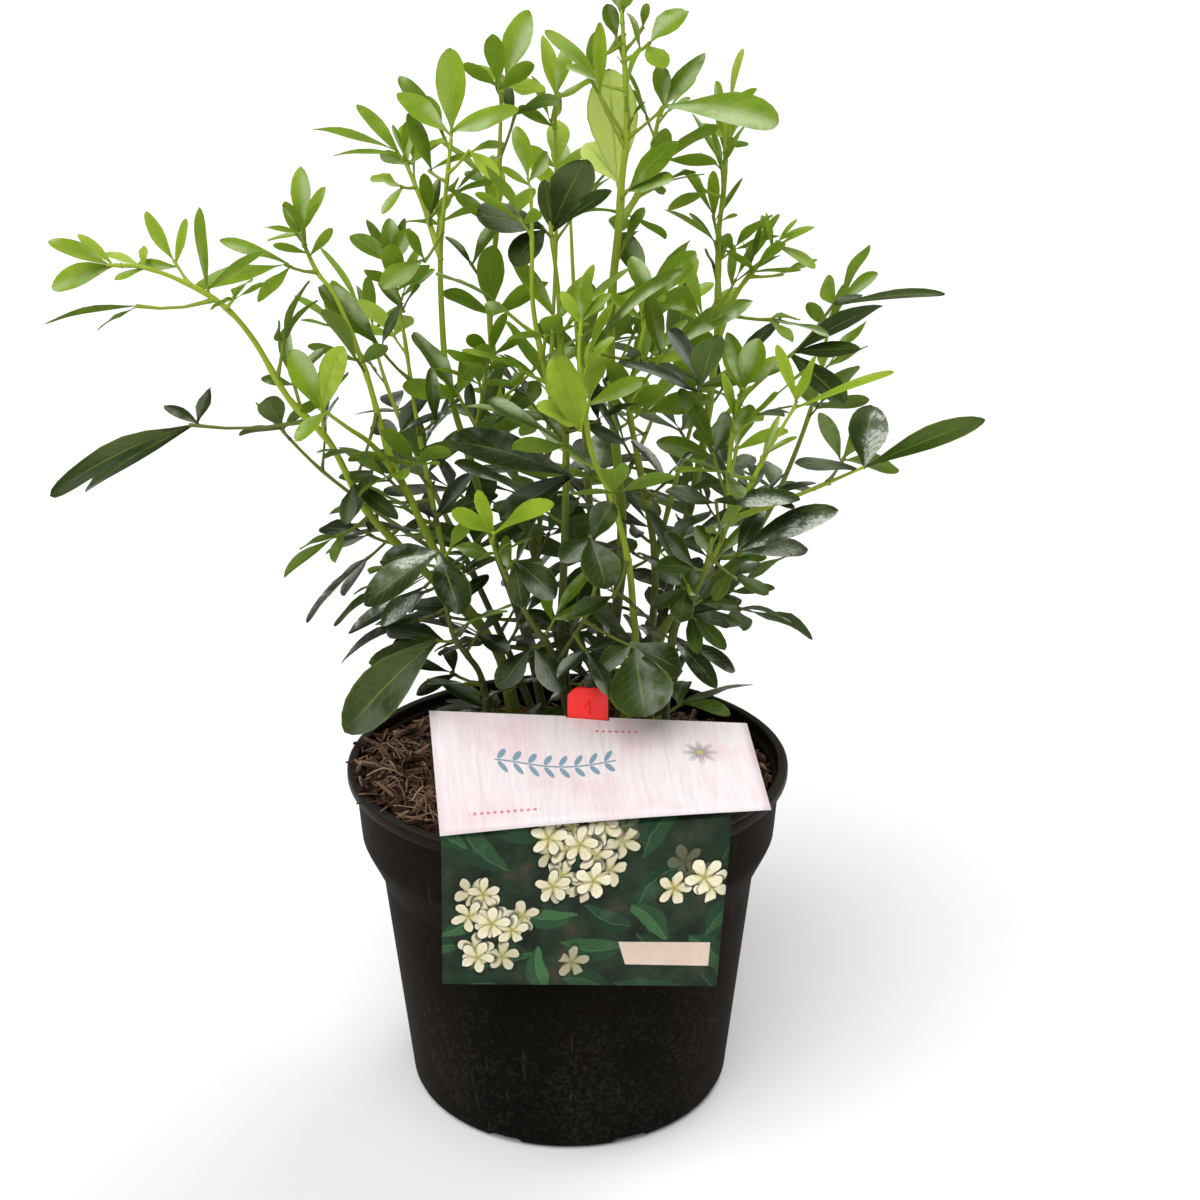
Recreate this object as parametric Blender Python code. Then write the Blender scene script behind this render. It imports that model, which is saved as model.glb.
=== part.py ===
# A potted Mexican orange: an evergreen shrub with leaves in threes, in a black nursery pot,
# with a folded picture card held by a red stake. The base of the pot stands on the ground at the origin.
# Sizes and places are in millimetres until a mesh is made.

import math
import random

import bmesh
import bpy
from mathutils import Matrix, Vector
from mathutils.bvhtree import BVHTree

MM = 0.001  # a millimetre in scene units
CLEAR = 0.3  # between pieces that touch

# Pot
POT_SIDES = 36
RIM_R = 95
RIM_Z = 152
COLLAR_R = 91.6
COLLAR_Z = 120
SHOULDER_R = 81.5
SHOULDER_Z = 103
BASE_R = 71.2
BASE_ROUND = 4.7
WALL = 2.1
FLOOR = 2.2
NOTCHES = 8
NOTCH_SIZE = (17, 16, 7)

# Compost
SOIL_Z = 139
HEAP = 12  # how much higher the compost lies at the front left
HEAP_SIDE = Vector((-0.8, -0.6))
CHIP = 2.4  # how far the bark stands up or lies in
SOIL_RINGS = 9
SOIL_SEED = 4

# Card: left and right corners of each fold, from the free front edge of the header
CARD_THICK = 0.8
CARD_ROWS = (
    ((-47.2, -97, 161.8), (79, -96, 172.5)),
    ((-54.5, -50, 193.5), (73.4, -43, 185)),
    ((-54.6, -48.7, 192.7), (73.5, -41.7, 184.2)),
    ((-54.3, -49.4, 191.2), (73.2, -42.4, 182.7)),
    ((-47, -94.1, 153.3), (64, -94.1, 153.3)),
    ((-47, -95.4, 152.1), (64, -95.4, 152.1)),
    ((-47, -95.75, 150), (64, -95.75, 150)),
    ((-48.5, -93.4, 95), (60, -93.4, 94)),
)

# Stake
STAKE_X, STAKE_Y = 9, -46.4
STAKE_WIDE, STAKE_THICK = 17.6, 1.7
STAKE_TOP, STAKE_NECK, STAKE_TIP = 202.5, 174, 84
LEG_WIDE = 9

# Stems and leaves
STEM_SIDES = 5
ROOT_DEPTH = 44
STEM_RISE = 12  # above the compost before a stem bends
BLADE_THICK = 1.3  # at the midrib
STALK_R = 0.85
LEAFLET_ROOT = 0.7  # how far a leaflet's base lies inside the end of its stalk
LEAFLET_STEP = 1.3
LEAF_GAP = 0.9  # kept between the leaves of two stems
LEAF_SEED = 21
PLACES_STEP = 7  # one in so many places for a leaf along a shoot has its leaf
LARGE_LEAFLET = 33

# The view that the shrub was measured in, as (across, down) places in a picture 1200 across
VIEW_TILT = math.radians(19.6)
VIEW_DISTANCE = 769
VIEW_AIM = Vector((13.9, 0, 222.9))
VIEW_FOCUS = 1829
VIEW_MIDDLE = 600

# Each stem has the place of its root on the compost, its thickness, and its shoots: the first is the
# stem itself, and a later one starts on an earlier one. A shoot's path has places in the view with
# their depth behind the pot's axis, or points in mm where the view doesn't show it. Its pairs of
# leaves stand from `leafy` along it, at `pitch`, with leaflets about `size` long, and `tip` is the
# number of pairs in the young cluster on its end. A leaf set out by hand has the place on the stem
# that it grows from, the end of its stalk and how much deeper that is, and the tips of its
# leaflets with their depth from the stalk's end and their width.
STEMS = {
    "stem_far_left": dict(
        root=(-19, 8),
        thick=2.5,
        shoots=[
            dict(
                path=[(500, 655, 2), (455, 602, -4), (404, 551, -10), (364, 507, -16), (330, 443, -22),
                      (289, 399, -26), (255, 342, -28), (226, 308, -30), (190, 285, -32),
                      (146, 268, -34), (110, 265, -36)],
                leafy=0.86, pitch=15, size=21, tip=2,
            ),
        ],
        leaves=[
            ((122, 265), (108, 265, 0), [(46, 241, -4, 9), (72, 234, 5, 7), (43, 286, 6, 13)]),
            ((211, 300), (135, 306, -6), [(43, 324, -6, 9), (92, 330, 16, 7)]),
            ((209, 297), (207, 285, 0), [(199, 205, 4, 10), (262, 247, 14, 10)]),
            ((306, 426), (188, 425, -10), [(48, 496, -14, 15), (80, 491, 16, 20), (202, 388, 6, 8),
                                           (152, 406, 12, 6)]),
            ((364, 507), (372, 470, -10), [(352, 480, -20, 8), (345, 520, -6, 9)]),
        ],
    ),
    "stem_left": dict(
        root=(-22, -7),
        thick=2.6,
        shoots=[
            dict(
                path=[(500, 660, -12), (450, 580, -12), (404, 486, -8), (387, 448, -4), (366, 373, 0),
                      (337, 300, 4), (317, 272, 6), (302, 240, 8)],
                leafy=0.5, pitch=17, size=30, tip=3,
            ),
            dict(
                path=[(404, 486, -8), (373, 446, -24), (348, 428, -34), (323, 410, -42)],
                leafy=0.9, pitch=14, size=24, tip=1,
            ),
            dict(
                path=[(450, 580, -12), (432, 500, 6), (417, 421, 14), (405, 341, 20), (394, 275, 24)],
                leafy=0.3, pitch=19, size=34, tip=3,
            ),
        ],
        leaves=[
            ((317, 272), (284, 264, -6), [(190, 288, -10, 13), (215, 240, 8, 10), (250, 300, -14, 9)]),
            ((302, 240), (303, 226, 2), [(300, 165, 6, 12), (326, 182, -6, 10), (268, 232, 10, 8)]),
            ((323, 410), (318, 408, 0), [(287, 350, 0, 16), (338, 344, -6, 15), (287, 438, -10, 11)]),
            ((411, 385), (378, 346, -8), [(317, 286, -4, 15), (400, 300, -12, 9)]),
            ((394, 275), (392, 262, 0), [(350, 234, 8, 10), (410, 224, -6, 12), (388, 210, 6, 9)]),
            ((376, 410), (352, 488, -20), [(345, 526, -8, 9), (396, 524, -12, 9)]),
        ],
    ),
    "stem_mid_left": dict(
        root=(-9, 17),
        thick=2.6,
        shoots=[
            dict(
                path=[(530, 650, 20), (500, 560, 26), (470, 460, 30), (448, 383, 30), (441, 298, 30),
                      (441, 240, 30), (446, 190, 26), (451, 140, 24)],
                leafy=0.36, pitch=21, size=39, tip=2,
            ),
            dict(
                path=[(441, 260, 30), (430, 225, 38), (416, 187, 42), (404, 160, 46)],
                leafy=0.4, pitch=15, size=29, tip=2,
            ),
            dict(
                path=[(470, 460, 30), (480, 410, 10), (487, 365, 0)],
                leafy=0.4, pitch=18, size=34, tip=2,
            ),
        ],
        leaves=[
            ((451, 144), (452, 128, 0), [(451, 46, 6, 14), (520, 106, -8, 14), (398, 84, 8, 11)]),
            ((448, 170), (470, 150, -8), [(500, 180, -10, 10), (508, 140, 10, 8)]),
            ((404, 160), (396, 150, 0), [(312, 128, 4, 10), (330, 152, -8, 8), (352, 98, 14, 10)]),
            ((416, 187), (400, 186, -6), [(369, 178, -4, 12), (378, 214, -10, 8)]),
            ((446, 230), (424, 262, -18), [(404, 230, -4, 8), (380, 292, -10, 12)]),
        ],
    ),
    "stem_centre_back": dict(
        root=(3, 26),
        thick=2.4,
        shoots=[
            dict(
                path=[(560, 650, 34), (536, 560, 46), (508, 440, 54), (490, 326, 58), (494, 259, 60),
                      (499, 199, 60), (500, 138, 58), (502, 92, 56)],
                leafy=0.4, pitch=23, size=37, tip=2,
            ),
            dict(
                path=[(536, 560, 46), (548, 440, 62), (552, 340, 68), (556, 240, 70), (555, 106, 70)],
                leafy=0.45, pitch=24, size=37, tip=3,
            ),
        ],
        leaves=[
            ((502, 92), (506, 78, 0), [(529, 8, 4, 15), (470, 62, 8, 9), (548, 84, -8, 12)]),
            ((499, 150), (516, 112, -6), [(562, 98, 6, 10), (500, 70, 10, 8)]),
            ((489, 291), (470, 262, -14), [(444, 236, -4, 11), (498, 214, 6, 9)]),
            ((555, 120), (556, 92, 4), [(572, 42, 6, 11), (543, 30, 10, 10), (600, 70, -4, 9)]),
        ],
    ),
    "stem_centre": dict(
        root=(5, 6),
        thick=2.6,
        shoots=[
            dict(
                path=[(562, 650, 0), (564, 560, -4), (566, 450, -8), (561, 346, -10), (558, 290, -12),
                      (550, 225, -14)],
                leafy=0.34, pitch=21, size=38, tip=2,
            ),
            dict(
                path=[(566, 450, -8), (545, 370, -22), (533, 306, -28), (532, 245, -30), (531, 190, -30)],
                leafy=0.5, pitch=17, size=29, tip=2,
            ),
        ],
        leaves=[
            ((551, 230), (541, 226, 0), [(475, 214, -10, 15), (508, 262, -14, 10)]),
            ((552, 240), (553, 226, 4), [(587, 158, 6, 19), (612, 186, -8, 11), (545, 172, 12, 9)]),
            ((561, 350), (556, 320, -6), [(512, 258, 0, 13), (592, 268, 8, 12)]),
            ((566, 470), (572, 478, -30), [(450, 441, -14, 21), (500, 520, -22, 15)]),
        ],
    ),
    "stem_tall": dict(
        root=(13, 12),
        thick=3.2,
        shoots=[
            dict(
                path=[(612, 650, 10), (622, 534, 10), (613, 412, 10), (611, 313, 8), (619, 224, 4),
                      (622, 180, 2), (627, 130, 0), (625, 70, -2), (622, 14, -4)],
                leafy=0.3, pitch=26, size=44, tip=3,
            ),
            dict(
                path=[(619, 224, 4), (640, 190, 24), (652, 150, 34), (660, 110, 38)],
                leafy=0.5, pitch=16, size=29, tip=2,
            ),
        ],
        leaves=[
            ((622, 196), (617, 180, 8), [(608, 68, 10, 18), (585, 140, 16, 11)]),
            ((627, 139), (668, 104, -10), [(780, 122, -12, 20), (664, 62, 10, 10), (711, 48, 12, 11)]),
            ((626, 60), (651, 42, -6), [(690, 10, 0, 13), (668, 66, -10, 9)]),
            ((625, 84), (596, 82, 4), [(543, 31, 4, 11), (560, 66, -10, 9)]),
            ((622, 20), (622, 8, 0), [(600, -30, 4, 11), (640, -26, -6, 10), (618, -44, 2, 10)]),
            ((621, 204), (628, 190, -10), [(680, 141, -4, 15), (675, 176, -12, 11)]),
            ((612, 400), (604, 380, -20), [(586, 352, -6, 10), (640, 352, -10, 10)]),
        ],
    ),
    "stem_bright": dict(
        root=(20, -16),
        thick=2.2,
        shoots=[
            dict(
                path=[(634, 655, -24), (633, 610, -30), (628, 560, -36), (612, 500, -44), (592, 454, -50),
                      (584, 404, -52), (579, 362, -52), (581, 322, -52)],
                leafy=0.62, pitch=19, size=33, tip=2,
            ),
        ],
        leaves=[
            ((584, 404), (580, 432, -6), [(553, 358, -4, 19), (536, 410, -8, 12)]),
            ((581, 330), (582, 316, 0), [(590, 272, 0, 10), (612, 288, -4, 10), (562, 282, 6, 8)]),
            ((628, 560), (612, 598, -14), [(572, 618, -6, 10), (590, 566, -10, 11)]),
        ],
    ),
    "stem_right_upright": dict(
        root=(31, 5),
        thick=2.4,
        shoots=[
            dict(
                path=[(650, 650, 0), (655, 560, -6), (640, 470, -14), (629, 404, -18), (637, 360, -20),
                      (650, 306, -22)],
                leafy=0.3, pitch=22, size=38, tip=2,
            ),
            dict(
                path=[(655, 560, -6), (676, 480, -2), (690, 430, 0), (699, 387, 0)],
                leafy=0.3, pitch=20, size=37, tip=1,
            ),
        ],
        leaves=[
            ((650, 310), (654, 298, -2), [(697, 250, -4, 14), (632, 252, 6, 10), (690, 300, -10, 9)]),
            ((699, 390), (699, 380, -2), [(617, 362, -4, 13), (704, 324, 8, 15), (784, 361, -8, 12)]),
            ((699, 392), (703, 396, -8), [(703, 430, -8, 10), (664, 420, -6, 9)]),
            ((631, 392), (664, 354, -10), [(754, 300, -6, 12), (650, 290, 4, 9)]),
        ],
    ),
    "stem_right": dict(
        root=(33, -11),
        thick=2.6,
        shoots=[
            dict(
                path=[(660, 640, -14), (684, 606, -18), (703, 576, -22), (717, 550, -24), (731, 519, -26)],
                leafy=0.45, pitch=18, size=32, tip=0,
            ),
            dict(
                path=[(731, 519, -26), (729, 470, -28), (733, 430, -30), (740, 396, -32)],
                leafy=0.3, pitch=16, size=29, tip=2,
            ),
            dict(
                path=[(731, 519, -26), (745, 496, -34), (764, 458, -40), (794, 408, -46)],
                leafy=0.4, pitch=16, size=27, tip=1,
            ),
            dict(
                path=[(731, 519, -26), (772, 505, -24), (820, 486, -22), (864, 467, -20)],
                leafy=1.1, pitch=20, size=24, tip=0,
            ),
        ],
        leaves=[
            ((794, 408), (797, 400, 0), [(777, 343, 6, 10), (818, 352, -4, 9), (897, 364, 0, 9)]),
            ((864, 467), (866, 466, 0), [(872, 404, 10, 19), (990, 417, -8, 14), (802, 459, -10, 8)]),
            ((703, 582), (743, 549, -8), [(840, 510, -8, 16), (812, 547, 8, 13), (770, 500, 12, 10)]),
            ((722, 540), (716, 500, -10), [(800, 499, -8, 13), (664, 488, -6, 10)]),
            ((740, 400), (742, 386, 0), [(779, 356, -4, 11), (726, 340, 6, 9)]),
        ],
    ),
    "stem_back_right": dict(
        root=(27, 24),
        thick=2.8,
        shoots=[
            dict(
                path=[(655, 640, 32), (682, 540, 42), (704, 440, 46), (716, 346, 48), (718, 290, 48),
                      (719, 230, 48), (725, 180, 46), (725, 122, 44)],
                leafy=0.34, pitch=22, size=37, tip=3,
            ),
            dict(
                path=[(716, 346, 48), (733, 300, 44), (752, 272, 40), (772, 249, 38)],
                leafy=0.3, pitch=16, size=28, tip=2,
            ),
            dict(
                path=[(704, 440, 46), (740, 400, 58), (770, 372, 64), (795, 352, 66)],
                leafy=0.4, pitch=20, size=33, tip=0,
            ),
        ],
        leaves=[
            ((725, 200), (704, 190, -4), [(682, 168, 0, 9), (664, 208, -10, 9)]),
            ((725, 150), (732, 136, 0), [(748, 96, 4, 9), (700, 120, 8, 9), (752, 138, -8, 8)]),
            ((772, 249), (778, 240, 0), [(816, 226, 0, 8), (818, 264, -8, 11), (766, 208, 6, 9)]),
            ((795, 352), (797, 350, 0), [(884, 305, 2, 15), (864, 346, -10, 10), (850, 398, -12, 15)]),
            ((775, 368), (834, 304, 16), [(946, 293, 4, 11), (864, 292, 14, 9)]),
            ((718, 300), (700, 322, -16), [(662, 346, -6, 11), (676, 290, 4, 10)]),
        ],
    ),
    "stem_low_right": dict(
        root=(40, -24),
        thick=2.2,
        shoots=[
            dict(
                path=[(672, 640, -34), (692, 600, -44), (705, 570, -50), (712, 540, -56)],
                leafy=0.3, pitch=16, size=29, tip=1,
            ),
        ],
        leaves=[
            ((705, 570), (693, 568, -6), [(663, 532, 0, 11), (652, 566, -10, 9)]),
            ((692, 600), (684, 588, -8), [(680, 622, -8, 13), (650, 606, -8, 9)]),
            ((710, 556), (738, 580, -6), [(770, 596, -6, 9), (764, 566, 8, 8), (720, 606, -10, 8)]),
            ((686, 612), (694, 620, -4), [(726, 652, -10, 11), (733, 628, 8, 9), (702, 660, -14, 9)]),
            ((676, 630), (672, 640, 8), [(735, 672, 6, 10), (716, 690, -14, 10)]),
        ],
    ),
    "stem_low_left": dict(
        root=(-31, -22),
        thick=2.0,
        shoots=[
            dict(
                path=[(483, 684, -28), (468, 656, -36), (454, 636, -42), (444, 596, -46), (440, 553, -48)],
                leafy=0.6, pitch=15, size=27, tip=1,
            ),
        ],
        leaves=[
            ((440, 553), (436, 552, -2), [(363, 605, -8, 17), (456, 614, -16, 17), (376, 560, 10, 14)]),
            ((442, 570), (424, 588, 6), [(380, 627, -4, 11), (346, 636, 12, 8)]),
            ((440, 556), (452, 546, 6), [(490, 556, -6, 12), (470, 520, 8, 11)]),
            ((456, 638), (436, 640, -6), [(344, 733, -14, 26), (366, 665, 10, 16), (380, 630, 22, 13)]),
            ((466, 654), (480, 630, 4), [(504, 613, -6, 12), (512, 648, -12, 11)]),
        ],
    ),
    "stem_front": dict(
        root=(6, -24),
        thick=2.2,
        shoots=[
            dict(
                path=[(556, 664, -34), (530, 620, -44), (504, 572, -52), (490, 536, -58)],
                leafy=0.6, pitch=16, size=27, tip=1,
            ),
            dict(
                path=[(556, 664, -34), (584, 620, -50), (596, 580, -58), (592, 540, -64)],
                leafy=0.5, pitch=18, size=32, tip=1,
            ),
        ],
        leaves=[
            ((584, 626), (636, 648, -8), [(646, 718, -8, 29), (604, 672, -2, 14), (690, 676, 4, 17)]),
            ((490, 540), (494, 532, 0), [(554, 502, -6, 13), (452, 508, 4, 13), (478, 486, 8, 10)]),
            ((504, 572), (516, 560, -8), [(556, 598, -8, 14), (524, 606, -10, 12)]),
            ((592, 546), (590, 536, 0), [(606, 588, -14, 17), (560, 560, -10, 14), (612, 498, 6, 15)]),
            ((545, 645), (530, 648, -4), [(498, 690, -6, 14), (556, 692, -8, 13), (510, 640, 8, 11)]),
        ],
    ),
    "stem_back_left": dict(
        root=(-14, 33),
        thick=2.5,
        shoots=[
            dict(
                path=[Vector((-26, 46, 178)), Vector((-44, 66, 212)), Vector((-64, 92, 246)),
                      Vector((-84, 116, 282)), Vector((-96, 132, 318))],
                leafy=0.2, pitch=23, size=44, tip=2,
            ),
            dict(
                path=[Vector((-44, 66, 212)), Vector((-78, 74, 232)), Vector((-112, 76, 258)),
                      Vector((-138, 70, 290))],
                leafy=0.3, pitch=22, size=41, tip=2,
            ),
        ],
        leaves=[],
    ),
    "stem_back": dict(
        root=(16, 40),
        thick=2.7,
        shoots=[
            dict(
                path=[Vector((14, 56, 186)), Vector((10, 78, 230)), Vector((6, 100, 280)),
                      Vector((2, 118, 330)), Vector((0, 128, 372))],
                leafy=0.2, pitch=24, size=44, tip=3,
            ),
            dict(
                path=[Vector((10, 78, 230)), Vector((30, 110, 254)), Vector((44, 138, 282)),
                      Vector((50, 158, 312))],
                leafy=0.3, pitch=22, size=41, tip=2,
            ),
        ],
        leaves=[],
    ),
    "stem_back_far_right": dict(
        root=(38, 33),
        thick=2.5,
        shoots=[
            dict(
                path=[Vector((52, 46, 180)), Vector((74, 64, 212)), Vector((96, 84, 246)),
                      Vector((112, 100, 284)), Vector((120, 112, 322))],
                leafy=0.2, pitch=23, size=43, tip=2,
            ),
            dict(
                path=[Vector((52, 46, 180)), Vector((64, 72, 200)), Vector((72, 100, 218)),
                      Vector((74, 124, 240))],
                leafy=0.3, pitch=21, size=39, tip=1,
            ),
        ],
        leaves=[],
    ),
}


def finish(name, colour, roughness):
    """Material with an even colour."""
    material = bpy.data.materials.new(name)
    material.use_nodes = True
    shader = material.node_tree.nodes["Principled BSDF"]
    shader.inputs["Base Color"].default_value = (*colour, 1)
    shader.inputs["Roughness"].default_value = roughness
    shader.inputs["Metallic"].default_value = 0
    return material


def keep(name, bm, material):
    """Object made from a bmesh, with its normals facing out."""
    bmesh.ops.recalc_face_normals(bm, faces=bm.faces)
    mesh = bpy.data.meshes.new(name)
    bm.to_mesh(mesh)
    bm.free()
    mesh.materials.append(material)
    item = bpy.data.objects.new(name, mesh)
    bpy.context.collection.objects.link(item)
    return item


def loft(bm, rings):
    """Skins rings of points in turn. An end ring of one point is a tip, and any other end is filled."""
    loops = [[bm.verts.new(point * MM) for point in ring] for ring in rings]
    for near, far in zip(loops, loops[1:]):
        count = max(len(near), len(far))
        for i in range(count):
            j = (i + 1) % count
            corners = (near[i % len(near)], near[j % len(near)], far[j % len(far)], far[i % len(far)])
            bm.faces.new(list(dict.fromkeys(corners)))
    for loop in (loops[0], loops[-1]):
        if len(loop) > 1:
            bm.faces.new(loop)


def turned(profile, sides):
    """Closed profile of (radius, height) points spun round the upright axis, as a bmesh."""
    bm = bmesh.new()
    points = [bm.verts.new((radius * MM, 0, height * MM)) for radius, height in profile]
    edges = [bm.edges.new(pair) for pair in zip(points, points[1:])]
    bmesh.ops.spin(bm, geom=points + edges, cent=(0, 0, 0), axis=(0, 0, 1), angle=math.tau,
                   steps=sides, use_merge=True)
    bmesh.ops.remove_doubles(bm, verts=bm.verts, dist=0.01 * MM)
    return bm


def cut(item, cutters):
    """Takes the cutters out of an object and deletes them."""
    group = bpy.data.collections.new(item.name + "_cutters")
    bpy.context.scene.collection.children.link(group)
    for cutter in cutters:
        bpy.context.collection.objects.unlink(cutter)
        group.objects.link(cutter)
    join(item, group, "DIFFERENCE", "EXACT")


def join(item, group, operation, solver):
    """Applies one Boolean with a collection, then deletes the collection and its objects."""
    boolean = item.modifiers.new("join", "BOOLEAN")
    boolean.operation = operation
    boolean.operand_type = "COLLECTION"
    boolean.collection = group
    boolean.solver = solver
    if solver == "EXACT":
        boolean.use_self = True
    evaluated = item.evaluated_get(bpy.context.evaluated_depsgraph_get())
    mesh = bpy.data.meshes.new_from_object(evaluated)
    item.modifiers.remove(boolean)
    old, item.data = item.data, mesh
    mesh.name = item.name
    bpy.data.meshes.remove(old)
    for piece in list(group.objects):
        bpy.data.objects.remove(piece)
    bpy.data.collections.remove(group)


def fill_hollows(item):
    """Keeps the outer skin of a joined body, so that a hollow between its pieces is filled."""
    bm = bmesh.new()
    bm.from_mesh(item.data)
    left = set(bm.verts)
    skins = []
    while left:
        skin, front = set(), [left.pop()]
        while front:
            vert = front.pop()
            skin.add(vert)
            for edge in vert.link_edges:
                other = edge.other_vert(vert)
                if other in left:
                    left.remove(other)
                    front.append(other)
        skins.append(skin)
    outer = max(skins, key=len)
    if len(skins) > 1:
        print(item.name, "skins left out:", [len(skin) for skin in skins if skin is not outer])
    bmesh.ops.delete(bm, geom=[vert for skin in skins if skin is not outer for vert in skin], context="VERTS")
    bm.to_mesh(item.data)
    bm.free()


def arc(centre, radius, start, end, steps):
    """Points on an arc in (radius, height), between two angles in degrees."""
    turns = [math.radians(start + (end - start) * i / steps) for i in range(steps + 1)]
    return [(centre[0] + radius * math.cos(a), centre[1] + radius * math.sin(a)) for a in turns]


# Pot

def inner_profile(gap):
    """Inside of the pot from the middle of its floor to the inner ledge, moved in by a gap."""
    return [
        (0, FLOOR + gap),
        (BASE_R - WALL - 4 - gap, FLOOR + gap),
        (BASE_R - WALL + 0.2 - gap, FLOOR + 4),
        (SHOULDER_R - WALL - gap, SHOULDER_Z + 1),
        (COLLAR_R - WALL - 2.4 - gap, COLLAR_Z + 1),
    ]


def make_pot():
    """Nursery pot with a rolled lip, a collar, a conical step and notches round its base."""
    outside = [(0, 0)]
    outside += arc((BASE_R - BASE_ROUND, BASE_ROUND), BASE_ROUND, -90, -8, 3)
    outside += [
        (SHOULDER_R, SHOULDER_Z),
        (COLLAR_R - 2, COLLAR_Z),
        (COLLAR_R, RIM_Z - 6.5),
        (RIM_R - 0.6, RIM_Z - 5.6),
        (RIM_R, RIM_Z - 4.2),
        (RIM_R, RIM_Z - 1.6),
        (RIM_R - 1.2, RIM_Z),
    ]
    inside = [
        (COLLAR_R - 0.6, RIM_Z),
        (COLLAR_R - 1.4, RIM_Z - 5),
        (COLLAR_R - 3.2, RIM_Z - 5.4),
        (COLLAR_R - 3.6, RIM_Z - 10),
    ] + inner_profile(0)[::-1]
    pot = keep("pot", turned(outside + inside, POT_SIDES), finish("black_plastic", (0.012, 0.012, 0.013), 0.5))
    notches = []
    for i in range(NOTCHES):
        turn = math.tau * (i + 0.5) / NOTCHES
        place = Matrix.Rotation(turn, 4, "Z") @ Matrix.Translation((BASE_R * MM, 0, 0))
        bm = bmesh.new()
        bmesh.ops.create_cube(bm, size=1, matrix=place @ Matrix.Diagonal((*[s * MM for s in NOTCH_SIZE], 1)))
        notches.append(keep("notch", bm, pot.data.materials[0]))
    cut(pot, notches)
    return pot


# Compost

def soil_height(x, y):
    """Height of the compost without its chips: heaped towards the front left."""
    heaped = max(0, (x * HEAP_SIDE.x + y * HEAP_SIDE.y) / SHOULDER_R)
    return SOIL_Z + HEAP * heaped


def make_compost(stems):
    """Compost that fills the pot, with bark chips as relief and a plain hole for each stem and the stake."""
    rng = random.Random(SOIL_SEED)
    bm = turned(inner_profile(CLEAR + 0.1)[:-1] + [(COLLAR_R - WALL - 3.2, SOIL_Z - 4)], POT_SIDES)
    bmesh.ops.holes_fill(bm, edges=[edge for edge in bm.edges if edge.is_boundary])
    top = max(bm.faces, key=lambda face: face.calc_center_median().z)
    for ring in range(SOIL_RINGS):
        width = (top.calc_perimeter() / math.tau) / (SOIL_RINGS - ring)
        bmesh.ops.inset_region(bm, faces=[top], thickness=width * 0.96, use_even_offset=True)
    bmesh.ops.poke(bm, faces=[top])
    for vert in bm.verts:
        if vert.co.z > (SOIL_Z - 4.5) * MM:
            x, y = vert.co.x / MM, vert.co.y / MM
            spread = Vector((x, y)).length
            chip = CHIP * (rng.random() * 2 - 1)
            edge = min(1, max(0, (SHOULDER_R + 4 - spread) / 6))
            vert.co.z = (soil_height(x, y) + chip * edge) * MM
    bmesh.ops.triangulate(bm, faces=[face for face in bm.faces if len(face.verts) > 3])
    compost = keep("compost", bm, finish("bark", (0.09, 0.055, 0.032), 0.95))
    holes = []
    for stem in stems.values():
        x, y = stem["root"]
        sides = 6
        radius = (stem["thick"] + CLEAR) / math.cos(math.pi / sides)
        bm = bmesh.new()
        low, high = SOIL_Z - ROOT_DEPTH - 1, SOIL_Z + HEAP + 20
        loft(bm, [round_ring(Vector((x, y, z)), Vector((0, 0, 1)), radius, sides) for z in (low, high)])
        holes.append(keep("hole", bm, compost.data.materials[0]))
    bm = bmesh.new()
    gap = CLEAR + 0.1
    size = (LEG_WIDE + 2 * gap, STAKE_THICK + 2 * gap, 90)
    place = Matrix.Translation(Vector((STAKE_X, STAKE_Y, STAKE_TIP - gap + size[2] / 2)) * MM)
    bmesh.ops.create_cube(bm, size=1, matrix=place @ Matrix.Diagonal((*[s * MM for s in size], 1)))
    holes.append(keep("hole", bm, compost.data.materials[0]))
    cut(compost, holes)
    return compost


# Card and stake

def make_card():
    """One folded card: a header flap, a leaf under it, and a picture panel that hangs over the rim."""
    bm = bmesh.new()
    rows = []
    for left, right in CARD_ROWS:
        left, right = Vector(left), Vector(right)
        rows.append([bm.verts.new(left.lerp(right, i / 4) * MM) for i in range(5)])
    for near, far in zip(rows, rows[1:]):
        for i in range(4):
            bm.faces.new((near[i], near[i + 1], far[i + 1], far[i]))
    card = keep("card", bm, finish("card", (0.8, 0.72, 0.74), 0.45))
    wall = card.modifiers.new("thickness", "SOLIDIFY")
    wall.thickness = CARD_THICK * MM
    wall.offset = 0
    wall.use_even_offset = True
    bm = bmesh.new()
    gap = CLEAR + 0.2
    size = (STAKE_WIDE + 2 * gap, STAKE_THICK + 2 * gap, 30)
    place = Matrix.Translation(Vector((STAKE_X, STAKE_Y, STAKE_NECK + size[2] / 2)) * MM)
    bmesh.ops.create_cube(bm, size=1, matrix=place @ Matrix.Diagonal((*[s * MM for s in size], 1)))
    slot = keep("slot", bm, card.data.materials[0])
    slot.hide_render = True
    slot.display_type = "WIRE"
    boolean = card.modifiers.new("slot", "BOOLEAN")
    boolean.object = slot
    boolean.solver = "EXACT"
    return card


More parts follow.
